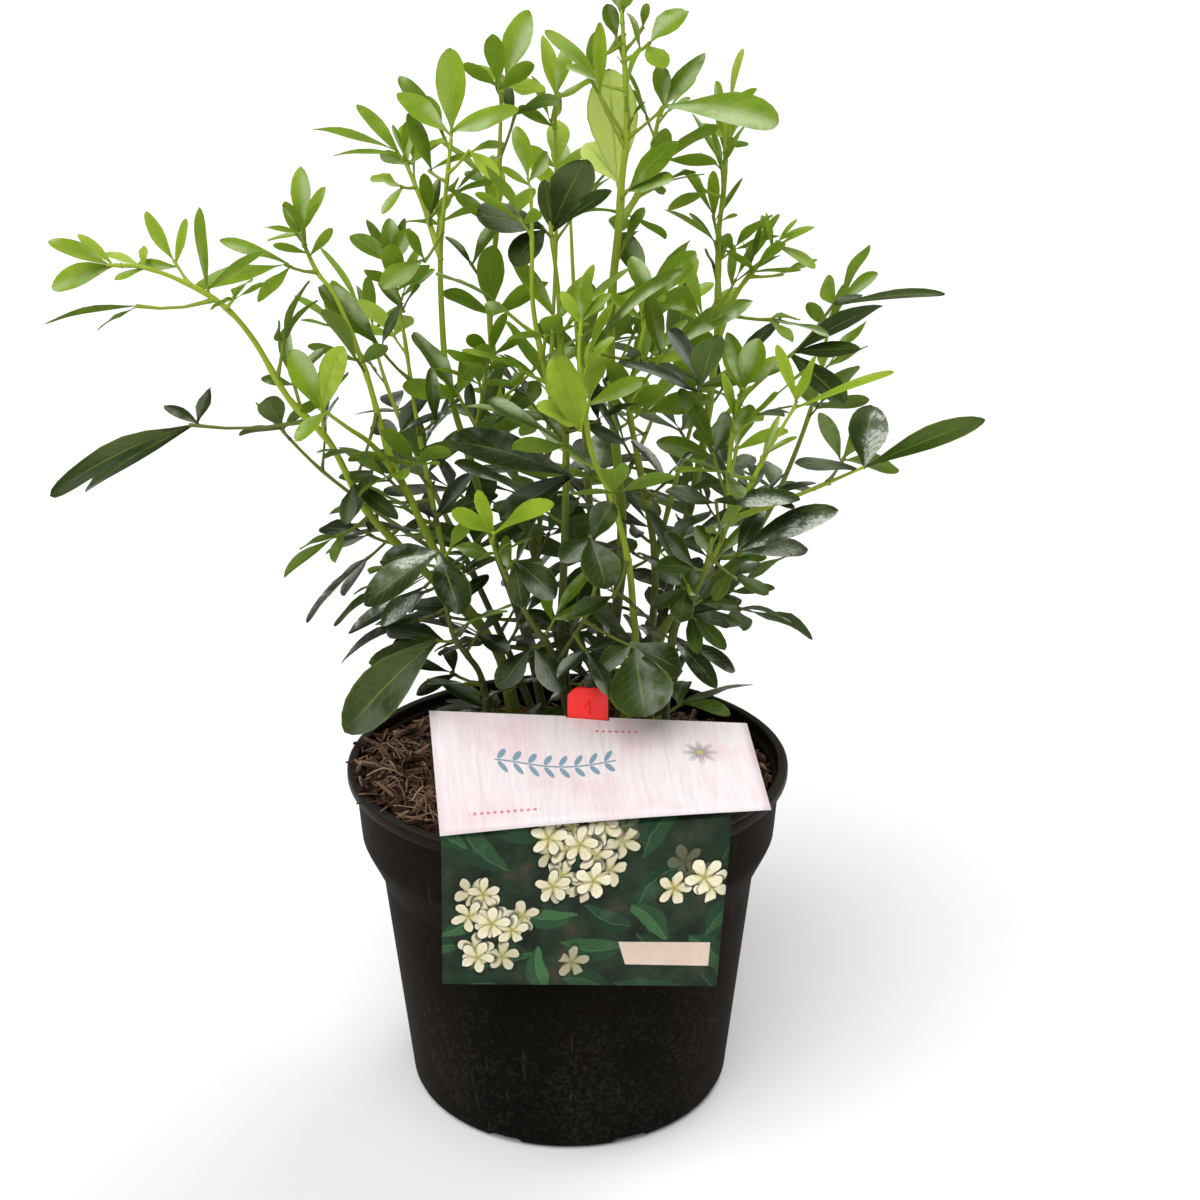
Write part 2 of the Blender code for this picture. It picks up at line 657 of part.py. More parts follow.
def make_stake():
    """Flat red stake: a rounded head with a small raised arrow, a neck and a pointed leg."""
    half, leg = STAKE_WIDE / 2, LEG_WIDE / 2
    outline = arc((half - 5, STAKE_TOP - 5), 5, 0, 90, 3)
    outline += [(-x, z) for x, z in outline[::-1]]
    outline += [(-half, STAKE_NECK + 5), (-leg, STAKE_NECK - 4), (-leg, STAKE_TIP + 14), (-1, STAKE_TIP)]
    outline += [(1, STAKE_TIP), (leg, STAKE_TIP + 14), (leg, STAKE_NECK - 4), (half, STAKE_NECK + 5)]
    bm = bmesh.new()
    front, back = STAKE_Y - STAKE_THICK / 2, STAKE_Y + STAKE_THICK / 2
    loft(bm, [[Vector((STAKE_X + x, y, z)) for x, z in outline] for y in (front, back)])
    stake = keep("stake", bm, finish("red_plastic", (0.75, 0.02, 0.02), 0.35))
    arrow = [(0, STAKE_TOP - 5.5), (-1.9, STAKE_TOP - 10.5), (1.9, STAKE_TOP - 10.5)]
    bm = bmesh.new()
    loft(bm, [[Vector((STAKE_X + x, y, z)) for x, z in arrow] for y in (front - 0.6, front + 0.6)])
    piece = keep("arrow", bm, stake.data.materials[0])
    group = bpy.data.collections.new("stake_pieces")
    bpy.context.scene.collection.children.link(group)
    bpy.context.collection.objects.unlink(piece)
    group.objects.link(piece)
    join(stake, group, "UNION", "EXACT")
    return stake


# Shrub

def seen(across, down, depth):
    """Point at a depth behind the pot's axis that the view shows at a place in its picture."""
    ahead = Vector((0, math.cos(VIEW_TILT), -math.sin(VIEW_TILT)))
    upward = Vector((0, math.sin(VIEW_TILT), math.cos(VIEW_TILT)))
    eye = VIEW_AIM - ahead * VIEW_DISTANCE
    ray = ahead + Vector((1, 0, 0)) * ((across - VIEW_MIDDLE) / VIEW_FOCUS)
    ray += upward * ((VIEW_MIDDLE - down) / VIEW_FOCUS)
    return eye + ray * ((depth - eye.y) / ray.y)


def length_of(path):
    """Length of a path of points."""
    return sum((far - near).length for near, far in zip(path, path[1:]))


def place_on(path, distance):
    """Point at a distance along a path, and the way the path goes there."""
    for near, far in zip(path, path[1:]):
        step = (far - near).length
        if distance <= step or far is path[-1]:
            return near.lerp(far, min(1, distance / step)), (far - near).normalized()
        distance -= step


def round_ring(centre, along, radius, sides):
    """Points round a centre, in the plane across a direction."""
    side = along.cross(Vector((0.13, 0.97, 0.21))).normalized()
    other = along.cross(side)
    turns = [math.tau * i / sides for i in range(sides)]
    return [centre + radius * (math.cos(a) * side + math.sin(a) * other) for a in turns]


def tube_rings(path, thick, thin, sides):
    """Rings of a tube along a path that tapers evenly."""
    rings = []
    for i, point in enumerate(path):
        along = (path[min(i + 1, len(path) - 1)] - path[max(i - 1, 0)]).normalized()
        radius = thick + (thin - thick) * i / (len(path) - 1)
        rings.append(round_ring(point, along, radius, sides))
    return rings


def half_width(t):
    """Outline of a leaflet: widest past its middle, narrow at its base, with a blunt tip."""
    return math.sin(math.pi * t**1.15) ** 0.85


def blade_rings(leaflet, swell=0):
    """Rings of one leaflet: a blade folded up a little from its midrib and bent down along its length."""
    size = leaflet["length"]
    stations = (0.3, 0.6, 0.86) if size > LARGE_LEAFLET else (0.42, 0.79)
    along, face = leaflet["along"], leaflet["face"]
    side = along.cross(face)
    bend, fold = leaflet["bend"], leaflet["fold"]
    rings = [[leaflet["base"]]]
    for t in stations + (1,):
        angle = bend * t
        reach = size * t * (math.sin(angle) / angle if bend else 1)
        drop = size * t * ((1 - math.cos(angle)) / angle if bend else 0)
        rib = leaflet["base"] + along * reach - face * drop
        upright = face * math.cos(angle) + along * math.sin(angle)
        if t == 1:
            rings.append([rib])
            break
        out = leaflet["width"] / 2 * half_width(t) + swell
        edge = side * (math.cos(fold) * out)
        lift = upright * (math.sin(fold) * out)
        skin = upright * (BLADE_THICK / 2 + swell)
        rings.append([rib - edge + lift, rib + skin, rib + edge + lift, rib - skin])
    return rings


class Thicket:
    """What has been placed so far, to keep the stems and leaves of one stem clear of the others."""

    def __init__(self):
        self.items = []

    def tree(self, shapes):
        bm = bmesh.new()
        for rings in shapes:
            loft(bm, rings)
        points = [vert.co for vert in bm.verts]
        box = [(min(p[i] for p in points), max(p[i] for p in points)) for i in range(3)]
        tree = BVHTree.FromBMesh(bm)
        bm.free()
        return tree, box

    def add(self, owner, shapes):
        self.items.append((owner, *self.tree(shapes)))

    def hits(self, shapes, skip=()):
        tree, box = self.tree(shapes)
        for owner, other, other_box in self.items:
            if owner in skip:
                continue
            if any(a[0] > b[1] or b[0] > a[1] for a, b in zip(box, other_box)):
                continue
            if tree.overlap(other):
                return True
        return False


def leaflet_at(base, tip, width, up, bend, fold):
    """Leaflet from its base to its tip, with its upper face as near as it goes to a direction."""
    chord = tip - base
    span = chord.length
    start = chord.normalized()
    face = (up - start * up.dot(start)).normalized()
    along = (start * math.cos(bend / 2) + face * math.sin(bend / 2)).normalized()
    face = (face - along * face.dot(along)).normalized()
    reach = math.sin(bend / 2) / (bend / 2) if bend else 1
    return dict(base=base, along=along, face=face, length=span / reach, width=width, bend=bend, fold=fold)


def leaf_shapes(leaf, swell=0):
    """Rings of a leaf's stalk and of its leaflets."""
    stalk = tube_rings(leaf["stalk"], STALK_R + 0.25 + swell, STALK_R + swell, 3)
    return [stalk] + [blade_rings(leaflet, swell) for leaflet in leaf["leaflets"]]


def sunk(hub, start, leaflets):
    """Moves the leaflets' bases back into the end of their stalk, one behind the other."""
    back = (start - hub).normalized()
    for i, leaflet in enumerate(leaflets):
        leaflet["base"] = hub + back * (LEAFLET_ROOT + LEAFLET_STEP * i)
    return leaflets


def set_leaf(path_points, entry, shift, rng):
    """Leaf set out by hand: it starts at the nearest place on the stem, and shift moves it in depth."""
    start_place, hub_place, tips = entry
    start = min(path_points, key=lambda p: (p - seen(*start_place, p.y)).length)
    hub_depth = start.y + hub_place[2] + shift
    hub = seen(hub_place[0], hub_place[1], hub_depth)
    up = Vector((0, -0.55, 0.85)).normalized()
    leaflets = []
    for across, down, depth, width in tips:
        tip = seen(across, down, hub_depth + depth + shift * 0.4)
        bend = rng.uniform(0.15, 0.55)
        leaflets.append(leaflet_at(hub, tip, width, up, bend, rng.uniform(0.12, 0.3)))
    return dict(stalk=[start, hub], leaflets=sunk(hub, start, leaflets))


def grown_leaf(start, stem_way, way, size, age, rng):
    """Leaf by rule: a stalk, a longer middle leaflet and one at each side, faces to the shoot's tip."""
    stalk = size * rng.uniform(0.45, 0.75) * (0.5 + 0.5 * age)
    hub = start + way * stalk
    up = (stem_way * 0.7 + Vector((0, 0, 0.6))).normalized()
    face = (up - way * up.dot(way)).normalized()
    leaflets = []
    for turn, share in ((0, 1), (-1, 0.8), (1, 0.8)):
        angle = turn * math.radians(rng.uniform(44, 62))
        out = Matrix.Rotation(angle, 3, face) @ way
        length = size * share * rng.uniform(0.88, 1.1)
        tip = hub + (out - face * 0.16 * age).normalized() * length
        width = length * rng.uniform(0.34, 0.43)
        leaflets.append(leaflet_at(hub, tip, width, face, 0.15 + 0.4 * age * rng.random(), 0.16 + 0.2 * rng.random()))
    return dict(stalk=[start, hub], leaflets=sunk(hub, start, leaflets))


def too_low(shapes):
    """Whether a leaf would reach into the pot or hang too far down outside it."""
    for rings in shapes:
        for ring in rings:
            for point in ring:
                spread = math.hypot(point.x, point.y)
                if point.z < (RIM_Z + 4 if spread < RIM_R + 6 else RIM_Z - 20):
                    return True
    return False


def shoot_paths(stem):
    """Path of each shoot of a stem. The first comes straight up out of the compost."""
    x, y = stem["root"]
    paths = []
    for shoot in stem["shoots"]:
        points = [place if isinstance(place, Vector) else seen(*place) for place in shoot["path"]]
        if not paths:
            top = soil_height(x, y) + STEM_RISE
            points = [Vector((x, y, SOIL_Z - ROOT_DEPTH)), Vector((x, y, top))] + points
        paths.append(points)
    return paths


def stem_shapes(stem, paths, swell=0):
    """Rings of a stem and its side shoots."""
    shapes = []
    for i, path in enumerate(paths):
        thick = stem["thick"] if i == 0 else stem["thick"] * 0.66
        thin = 1.05 if i == 0 else 0.95
        if i == 0:
            root = [path[0], path[1]]
            rings = tube_rings(root, thick + swell, thick + swell, STEM_SIDES)
            upper = tube_rings(path[1:], thick + swell, thin + swell, STEM_SIDES)
            rings[1] = upper[0]
            shapes.append(rings + upper[1:])
        else:
            shapes.append(tube_rings(path, thick + swell, thin + swell, STEM_SIDES - 1))
    return shapes


def grow(fixed):
    """Paths and leaves of every stem. Leaves set out by hand come first, then those placed by rule."""
    thicket = Thicket()
    thicket.items += fixed
    paths = {name: shoot_paths(stem) for name, stem in STEMS.items()}
    for name, stem in STEMS.items():
        thicket.add(name, stem_shapes(stem, paths[name]))
    leaves = {name: [] for name in STEMS}

    def fits(name, leaf):
        shapes = leaf_shapes(leaf, LEAF_GAP)
        if too_low(shapes) or thicket.hits(shapes, skip=(name,)):
            return False
        thicket.add(name + "_leaf", leaf_shapes(leaf))
        leaves[name].append(leaf)
        return True

    for name, stem in STEMS.items():
        points = [a.lerp(b, i / 8) for path in paths[name] for a, b in zip(path[1:], path[2:]) for i in range(9)]
        for i, entry in enumerate(stem["leaves"]):
            for shift in (0, -5, 6, -10, 12, -16, 18, -24, 26, -32, 36):
                if fits(name, set_leaf(points, entry, shift, random.Random(LEAF_SEED + i))):
                    break
    rng = random.Random(LEAF_SEED)
    for name, stem in STEMS.items():
        for path, shoot in zip(paths[name], stem["shoots"]):
            whole = length_of(path)
            spot = whole * shoot["leafy"]
            turn = rng.uniform(0, math.tau)
            pairs = []
            number = -1
            while spot < whole - 9:
                share = (spot / whole - shoot["leafy"]) / (1.001 - shoot["leafy"])
                pairs.append((spot, 1 - share, math.radians(72 - 26 * share)))
                spot += shoot["pitch"] * (1.15 - 0.4 * share)
            pairs += [(whole - 1.5 - 4 * i, 0.18, math.radians(16 + 12 * i)) for i in range(shoot["tip"])]
            for spot, age, lean in pairs:
                turn += math.pi / 2 + rng.uniform(-0.3, 0.3)
                start, way = place_on(path, spot)
                side = way.cross(Vector((0.31, 0.9, 0.3))).normalized()
                size = shoot["size"] * (0.5 + 0.5 * min(1, age * 2))
                for half in (0, math.pi):
                    seed = rng.random()
                    number += 1
                    if number % PLACES_STEP:
                        continue
                    for nudge, rise in ((0, 1), (0.35, 0.9), (-0.35, 0.9), (0.7, 0.75), (-0.7, 0.75)):
                        out = Matrix.Rotation(turn + half + nudge, 3, way) @ side
                        aim = (way * math.cos(lean * rise) + out * math.sin(lean * rise)).normalized()
                        if fits(name, grown_leaf(start, way, aim, size, age, random.Random(seed))):
                            break
    return paths, leaves


def make_stem(name, stem, paths, leaves, material):
    """One leafy stem: its shoots, leaf stalks and leaflets in one body."""
    shapes = stem_shapes(stem, paths)
    for leaf in leaves:
        shapes += leaf_shapes(leaf)
    bm = bmesh.new()
    loft(bm, shapes[0])
    item = keep(name, bm, material)
    group = bpy.data.collections.new(name + "_pieces")
    bpy.context.scene.collection.children.link(group)
    for rings in shapes[1:]:
        bm = bmesh.new()
        loft(bm, rings)
        piece = keep(name + "_piece", bm, material)
        bpy.context.collection.objects.unlink(piece)
        group.objects.link(piece)
    join(item, group, "UNION", "MANIFOLD")
    fill_hollows(item)
    return item


def fixed_items(items):
    """What the leaves have to keep clear of, from objects that are finished."""
    found = []
    graph = bpy.context.evaluated_depsgraph_get()
    for item in items:
        bm = bmesh.new()
        bm.from_object(item, graph)
        points = [vert.co for vert in bm.verts]
        box = [(min(p[i] for p in points), max(p[i] for p in points)) for i in range(3)]
        found.append((item.name, BVHTree.FromBMesh(bm), box))
        bm.free()
    return found


def main():
    """Builds the pot, the compost, the card, the stake and the shrub."""
    for item in list(bpy.data.objects):
        bpy.data.objects.remove(item)
    pot = make_pot()
    compost = make_compost(STEMS)
    card = make_card()
    stake = make_stake()
    paths, leaves = grow(fixed_items([pot, compost, card, stake]))
    green = finish("foliage", (0.1, 0.2, 0.03), 0.45)
    for name, stem in STEMS.items():
        make_stem(name, stem, paths[name], leaves[name], green)
    for item in (pot, stake):
        item.data.shade_smooth()
        item.data.set_sharp_from_angle(angle=math.radians(35))
    print(sum(len(of) for of in leaves.values()), "leaves")


main()
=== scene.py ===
import itertools
import math
import random

import bmesh
import bpy
from mathutils import Matrix, Vector, noise
from mathutils.bvhtree import BVHTree


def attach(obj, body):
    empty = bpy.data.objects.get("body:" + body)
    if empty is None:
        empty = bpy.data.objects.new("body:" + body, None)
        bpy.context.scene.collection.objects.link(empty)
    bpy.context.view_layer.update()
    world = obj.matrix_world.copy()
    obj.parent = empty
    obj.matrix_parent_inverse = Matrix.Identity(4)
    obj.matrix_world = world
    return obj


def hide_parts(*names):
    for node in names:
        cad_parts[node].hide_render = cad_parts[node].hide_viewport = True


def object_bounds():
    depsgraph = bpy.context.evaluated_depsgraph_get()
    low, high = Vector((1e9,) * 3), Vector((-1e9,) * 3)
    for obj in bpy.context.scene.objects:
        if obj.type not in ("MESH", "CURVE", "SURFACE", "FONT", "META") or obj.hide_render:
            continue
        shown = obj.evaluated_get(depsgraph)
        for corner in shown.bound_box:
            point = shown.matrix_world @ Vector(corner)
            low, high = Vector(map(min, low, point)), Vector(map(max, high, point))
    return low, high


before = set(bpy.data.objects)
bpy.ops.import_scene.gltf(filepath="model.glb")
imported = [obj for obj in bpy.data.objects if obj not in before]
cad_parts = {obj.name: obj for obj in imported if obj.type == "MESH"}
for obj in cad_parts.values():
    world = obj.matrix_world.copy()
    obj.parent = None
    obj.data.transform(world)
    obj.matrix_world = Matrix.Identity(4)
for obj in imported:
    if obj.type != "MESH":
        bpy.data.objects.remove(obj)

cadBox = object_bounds()
mm = 0.001  # sizes below are in millimetres until a mesh is made


# A Wire is one output of a shader node, so that a sum on wires adds its own Math nodes

class Wire:
    def __init__(self, tree, socket=None):
        self.tree = tree
        self.socket = socket

    def make(self, kind, settings={}, values={}, out=0):
        node = self.tree.nodes.new(kind)
        for name, value in settings.items():
            if name == "stops":
                self.fillRamp(node.color_ramp, value)
            else:
                setattr(node, name, value)
        for key, value in values.items():
            if isinstance(value, Wire):
                self.tree.links.new(value.socket, node.inputs[key])
            else:
                node.inputs[key].default_value = value
        return Wire(self.tree, node.outputs[out])

    def fillRamp(self, ramp, stops):
        while len(ramp.elements) < len(stops):
            ramp.elements.new(1)
        for element, (place, colour) in zip(ramp.elements, stops):
            element.position = place
            element.color = (*colour, 1)

    def other(self, out):
        # another output of the same node
        return Wire(self.tree, self.socket.node.outputs[out])

    def of(self, name, out=0):
        # an output of a node that is already there
        return Wire(self.tree, self.tree.nodes[name].outputs[out])

    def maths(self, operation, *others):
        values = dict(enumerate((self,) + others))
        return self.make("ShaderNodeMath", {"operation": operation}, values)

    def __add__(self, other):
        return self.maths("ADD", other)

    def __sub__(self, other):
        return self.maths("SUBTRACT", other)

    def __mul__(self, other):
        return self.maths("MULTIPLY", other)

    def __truediv__(self, other):
        return self.maths("DIVIDE", other)

    def __rsub__(self, other):
        return self * -1 + other

    __radd__ = __add__
    __rmul__ = __mul__

    def ease(self, low, high):
        # 0 at low, 1 at high, smooth between
        values = {"Value": self, "From Min": low, "From Max": high}
        return self.make("ShaderNodeMapRange", {"interpolation_type": "SMOOTHSTEP"}, values)

    def parts(self):
        split = self.make("ShaderNodeSeparateXYZ", {}, {"Vector": self})
        return [split.other(i) for i in range(3)]

    def joined(self, y, z=0):
        return self.make("ShaderNodeCombineXYZ", {}, {"X": self, "Y": y, "Z": z})

    def vector(self, operation, *others, out=0):
        values = dict(enumerate((self,) + others))
        return self.make("ShaderNodeVectorMath", {"operation": operation}, values, out)

    def ramp(self, *stops):
        return self.make("ShaderNodeValToRGB", {"stops": stops}, {"Fac": self})

    def blend(self, first, second, way="MIX"):
        # this wire is the share of the second colour
        first, second = [c if isinstance(c, Wire) else (*c, 1) for c in (first, second)]
        settings = {"data_type": "RGBA", "blend_type": way}
        return self.make("ShaderNodeMix", settings, {0: self, 6: first, 7: second}, 2)

    def stretched(self, scale, turn=(0, 0, 0)):
        return self.make("ShaderNodeMapping", {}, {"Vector": self, "Scale": scale, "Rotation": turn})

    def noise(self, scale, detail=3, rough=0.5):
        values = {"Vector": self, "Scale": scale, "Detail": detail, "Roughness": rough}
        return self.make("ShaderNodeTexNoise", {}, values)

    def cells(self, scale, feature="F1", flat=False, spread=1):
        values = {"Vector": self, "Scale": scale, "Randomness": spread}
        settings = {"feature": feature, "voronoi_dimensions": "2D" if flat else "3D"}
        return self.make("ShaderNodeTexVoronoi", settings, values)

    def bump(self, distance, strength=1):
        return self.make("ShaderNodeBump", {}, {"Height": self, "Distance": distance, "Strength": strength})


def newMaterial(name, fixed={}):
    # a material, a wire to start its nodes from, and the function that feeds its shader
    material = bpy.data.materials.new(name)
    material.use_nodes = True
    tree = material.node_tree
    shader = tree.nodes["Principled BSDF"]
    for key, value in fixed.items():
        shader.inputs[key].default_value = value

    def connect(**wires):
        sockets = {"colour": "Base Color", "rough": "Roughness", "normal": "Normal", "coat": "Coat Weight"}
        for key, wire in wires.items():
            tree.links.new(wire.socket, shader.inputs[sockets[key]])

    return material, Wire(tree), connect


def layered(colour, *layers):
    # colours laid over one another, each with its share
    for share, over in layers:
        colour = share.blend(colour, over)
    return colour


def objectPlace(w):
    return w.make("ShaderNodeTexCoord", out="Object")


def attribute(w, name):
    return w.make("ShaderNodeAttribute", {"attribute_name": name}, out="Fac")


def plainMaterial(name, colour, rough, grainSize=400, depth=0.00008):
    # an even finish with a little unevenness in tone and surface
    material, w, connect = newMaterial(name)
    place = objectPlace(w)
    grain = place.noise(grainSize, 4, 0.6)
    broad = place.noise(60, 3, 0.5)
    shade = tuple(c * 0.86 for c in colour)
    connect(
        colour=(broad * 0.6 + grain * 0.4).blend(shade, colour),
        rough=rough - 0.05 + grain * 0.1,
        normal=grain.bump(depth, 0.5),
    )
    return material


def between(value, low=0, high=1):
    return min(high, max(low, value))


# Meshes

def keepPiece(name, bm, materials, nodes=(), sharp=35):
    # a finished piece from a bmesh in metres, with its place in its mesh
    mesh = bpy.data.meshes.new(name)
    bm.to_mesh(mesh)
    bm.free()
    for material in materials:
        mesh.materials.append(material)
    mesh.shade_smooth()
    mesh.set_sharp_from_angle(angle=math.radians(sharp))
    piece = bpy.data.objects.new(name, mesh)
    bpy.context.scene.collection.objects.link(piece)
    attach(piece, "root")
    if nodes:
        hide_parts(*nodes)
    return piece


def pour(bm, small):
    # adds a small bmesh to a larger one
    mesh = bpy.data.meshes.new("poured")
    small.to_mesh(mesh)
    small.free()
    bm.from_mesh(mesh)
    bpy.data.meshes.remove(mesh)


def applyModifiers(piece):
    # makes the modifiers' result the piece's own mesh
    evaluated = piece.evaluated_get(bpy.context.evaluated_depsgraph_get())
    mesh = bpy.data.meshes.new_from_object(evaluated)
    piece.modifiers.clear()
    piece.data = mesh


def cutAway(piece, cutters):
    # takes closed shapes, each a bmesh, out of a piece
    objects = []
    for bm in cutters:
        mesh = bpy.data.meshes.new("cutter")
        bm.to_mesh(mesh)
        bm.free()
        objects.append(bpy.data.objects.new("cutter", mesh))
        bpy.context.scene.collection.objects.link(objects[-1])
        cut = piece.modifiers.new("cut", "BOOLEAN")
        cut.object = objects[-1]
        cut.solver = "EXACT"
    applyModifiers(piece)
    for cutter in objects:
        bpy.data.objects.remove(cutter)


def boxAt(place, size, turn=Matrix(), bevel=0, segments=2):
    # a box with rounded edges, in mm
    bm = bmesh.new()
    bmesh.ops.create_cube(bm, size=1, matrix=Matrix.Diagonal((*size, 1)))
    if bevel:
        bmesh.ops.bevel(bm, geom=bm.edges[:], offset=bevel, affect="EDGES", segments=segments,
                        profile=0.5, material=-1)
    move = Matrix.Scale(mm, 4) @ Matrix.Translation(place) @ turn
    bmesh.ops.transform(bm, matrix=move, verts=bm.verts)
    return bm


def spun(profile, steps):
    # a profile of (radius, height) in mm turned round the pot's axis
    bm = bmesh.new()
    points = [bm.verts.new((radius * mm, 0, height * mm)) for radius, height in profile]
    edges = [bm.edges.new(pair) for pair in zip(points, points[1:])]
    bmesh.ops.spin(bm, geom=points + edges, cent=(0, 0, 0), axis=(0, 0, 1), angle=math.tau,
                   steps=steps, use_merge=True)
    bmesh.ops.remove_doubles(bm, verts=bm.verts, dist=0.01 * mm)
    bmesh.ops.recalc_face_normals(bm, faces=bm.faces)
    return bm


def arc(centre, radius, start, end, steps):
    turns = [math.radians(start + (end - start) * i / steps) for i in range(steps + 1)]
    return [(centre[0] + radius * math.cos(a), centre[1] + radius * math.sin(a)) for a in turns]


def smoothPath(points, steps):
    # more points, on a smooth curve through the given ones
    ends = [points[0] * 2 - points[1]] + points + [points[-1] * 2 - points[-2]]
    curve = []
    for a, b, c, d in zip(ends, ends[1:], ends[2:], ends[3:]):
        for i in range(steps):
            t = i / steps
            flat = 2 * b + (c - a) * t
            curve.append(0.5 * (flat + (2 * a - 5 * b + 4 * c - d) * t**2 + (3 * b - a - 3 * c + d) * t**3))
    return curve + [points[-1]]


def sweep(path, radii, sides):
    # a closed tube in mm: a circle extruded from point to point, with a radius at each
    bm = bmesh.new()
    side = Vector((0.13, 0.97, 0.21))
    last = None
    for i, (point, radius) in enumerate(zip(path, radii)):
        along = (path[min(i + 1, len(path) - 1)] - path[max(i - 1, 0)]).normalized()
        side = (side - along * side.dot(along)).normalized()
        turn = Matrix((side, along.cross(side), along)).transposed().to_4x4()
        place = Matrix.Translation(point * mm) @ turn @ Matrix.Scale(radius * mm, 4)
        if last is None:
            bmesh.ops.create_circle(bm, cap_ends=True, segments=sides, radius=1, matrix=place)
            edges = bm.edges[:]
        else:
            grown = bmesh.ops.extrude_edge_only(bm, edges=edges)["geom"]
            ring = [item for item in grown if isinstance(item, bmesh.types.BMVert)]
            edges = [item for item in grown if isinstance(item, bmesh.types.BMEdge)
                     and all(vert in ring for vert in item.verts)]
            bmesh.ops.transform(bm, matrix=place @ last.inverted(), verts=ring)
        last = place
    bmesh.ops.contextual_create(bm, geom=edges)
    bmesh.ops.recalc_face_normals(bm, faces=bm.faces)
    return bm


# Pot

pot = {
    "rimR": 95, "rimZ": 152,
    "collarR": 91.6, "collarZ": 120,
    "shoulderR": 81.5, "shoulderZ": 103,
    "baseR": 71.2, "baseRound": 4.7,
    "wall": 2.1, "floor": 2.2,
    "notches": 8, "notchSize": (17, 16, 7), "notchRound": 2,
    "steps": 144,
}


def potMaterial():
    # black moulded plastic: fine grain, pale dust and scuffs, mostly low on the wall, a painted brown sheen
    # towards the sides and a painted highlight along the lip
    material, w, connect = newMaterial("potPlastic", {
        "Specular IOR Level": 0.02,
        "Specular Tint": (1, 0.8, 0.62, 1),
    })
    place = objectPlace(w)
    x, y, z = place.parts()
    grain = place.noise(900, 4, 0.6)
    broad = place.noise(14, 4, 0.55)
    low, high = z.ease(0.11, 0.02), z.ease(0.143, 0.1475)
    patches = place.noise(32, 3, 0.6).ease(0.4, 0.62)
    dust = (place.noise(430, 5, 0.75) + low * 0.1 + patches * 0.06).ease(0.58, 0.8)
    side = x.maths("ABSOLUTE").ease(0.035, 0.08)
    flecks = place.cells(330).ease(0.16, 0) * place.noise(26, 3, 0.6).ease(0.5, 0.62)
    scratch = place.stretched((1, 1, 0.07), (0.3, 0.2, 0)).noise(260, 3, 0.6).ease(0.66, 0.74)
    lipHighlight = z.ease(0.1509, 0.1517) * (0.35 + grain * 0.65)
    colour = layered(
        broad.ramp((0.3, (0.003, 0.0025, 0.0017)), (0.7, (0.0075, 0.0062, 0.0042))),
        (low * 0.5, (0.0045, 0.004, 0.0034)),
        (side * 0.6, (0.013, 0.0078, 0.005)),  # painted reflection: a brown sheen towards the left and right sides
        (dust * (0.13 + side * 0.1), (0.11, 0.1, 0.09)),
        (flecks * low * 0.35, (0.13, 0.13, 0.13)),
        (scratch * 0.14, (0.1, 0.09, 0.085)),
        (lipHighlight * 0.5, (0.055, 0.05, 0.044)),  # a painted highlight along its edge
    )
    connect(
        colour=colour,
        rough=0.52 + broad * 0.16 + dust * 0.2 - high * 0.14,
        coat=high * (0.04 + broad * 0.1),
        normal=(grain * 0.6 + broad * 1.4 - scratch * 0.4).bump(0.00022, 0.5),
    )
    return material


def makePot():
    base, shoulder, collar, rim = pot["baseR"], pot["shoulderR"], pot["collarR"], pot["rimR"]
    shoulderZ, collarZ, rimZ = pot["shoulderZ"], pot["collarZ"], pot["rimZ"]
    outside = [(0, 0), (40, 0)]
    outside += arc((base - pot["baseRound"], pot["baseRound"]), pot["baseRound"], -90, -8, 6)
    outside += [
        (shoulder - 0.9, shoulderZ - 9),
        (shoulder - 0.1, shoulderZ - 1.6),
        (shoulder + 0.5, shoulderZ + 0.6),
        (collar - 2.9, collarZ - 2),
        (collar - 1.9, collarZ + 0.6),
        (collar - 1.6, collarZ + 4),
        (collar - 0.2, rimZ - 8.5),
        (collar + 0.1, rimZ - 7),
        (rim - 1.2, rimZ - 5.9),
        (rim - 0.4, rimZ - 5.2),
        (rim, rimZ - 4),
    ]
    outside += arc((rim - 1.6, rimZ - 1.6), 1.6, 0, 100, 5)
    inside = arc((collar + 0.2, rimZ - 1), 1, 90, 180, 3)
    inside += [
        (collar - 1.2, rimZ - 4.7),
        (collar - 2.9, rimZ - 5.2),
        (collar - 3.3, rimZ - 5.8),
        (collar - 3.5, rimZ - 9.4),
        (collar - 4.1, rimZ - 10.2),
        (collar - pot["wall"] - 2.4, collarZ + 1),
        (shoulder - pot["wall"], shoulderZ + 1),
        (base - pot["wall"] + 0.2, pot["floor"] + 4),
        (base - pot["wall"] - 4, pot["floor"]),
        (0, pot["floor"]),
    ]
    wall = spun(outside + inside, pot["steps"])
    shell = keepPiece("nursery_pot", wall, [potMaterial()], ["pot"])
    cutters = []
    for i in range(pot["notches"]):
        turn = Matrix.Rotation(math.tau * (i + 0.5) / pot["notches"], 4, "Z")
        cutters.append(boxAt(turn @ Vector((base, 0, 0)), pot["notchSize"], turn, pot["notchRound"], 3))
    cutAway(shell, cutters)
    shell.data.shade_smooth()
    shell.data.set_sharp_from_angle(angle=math.radians(30))
    print("pot made")


# Compost

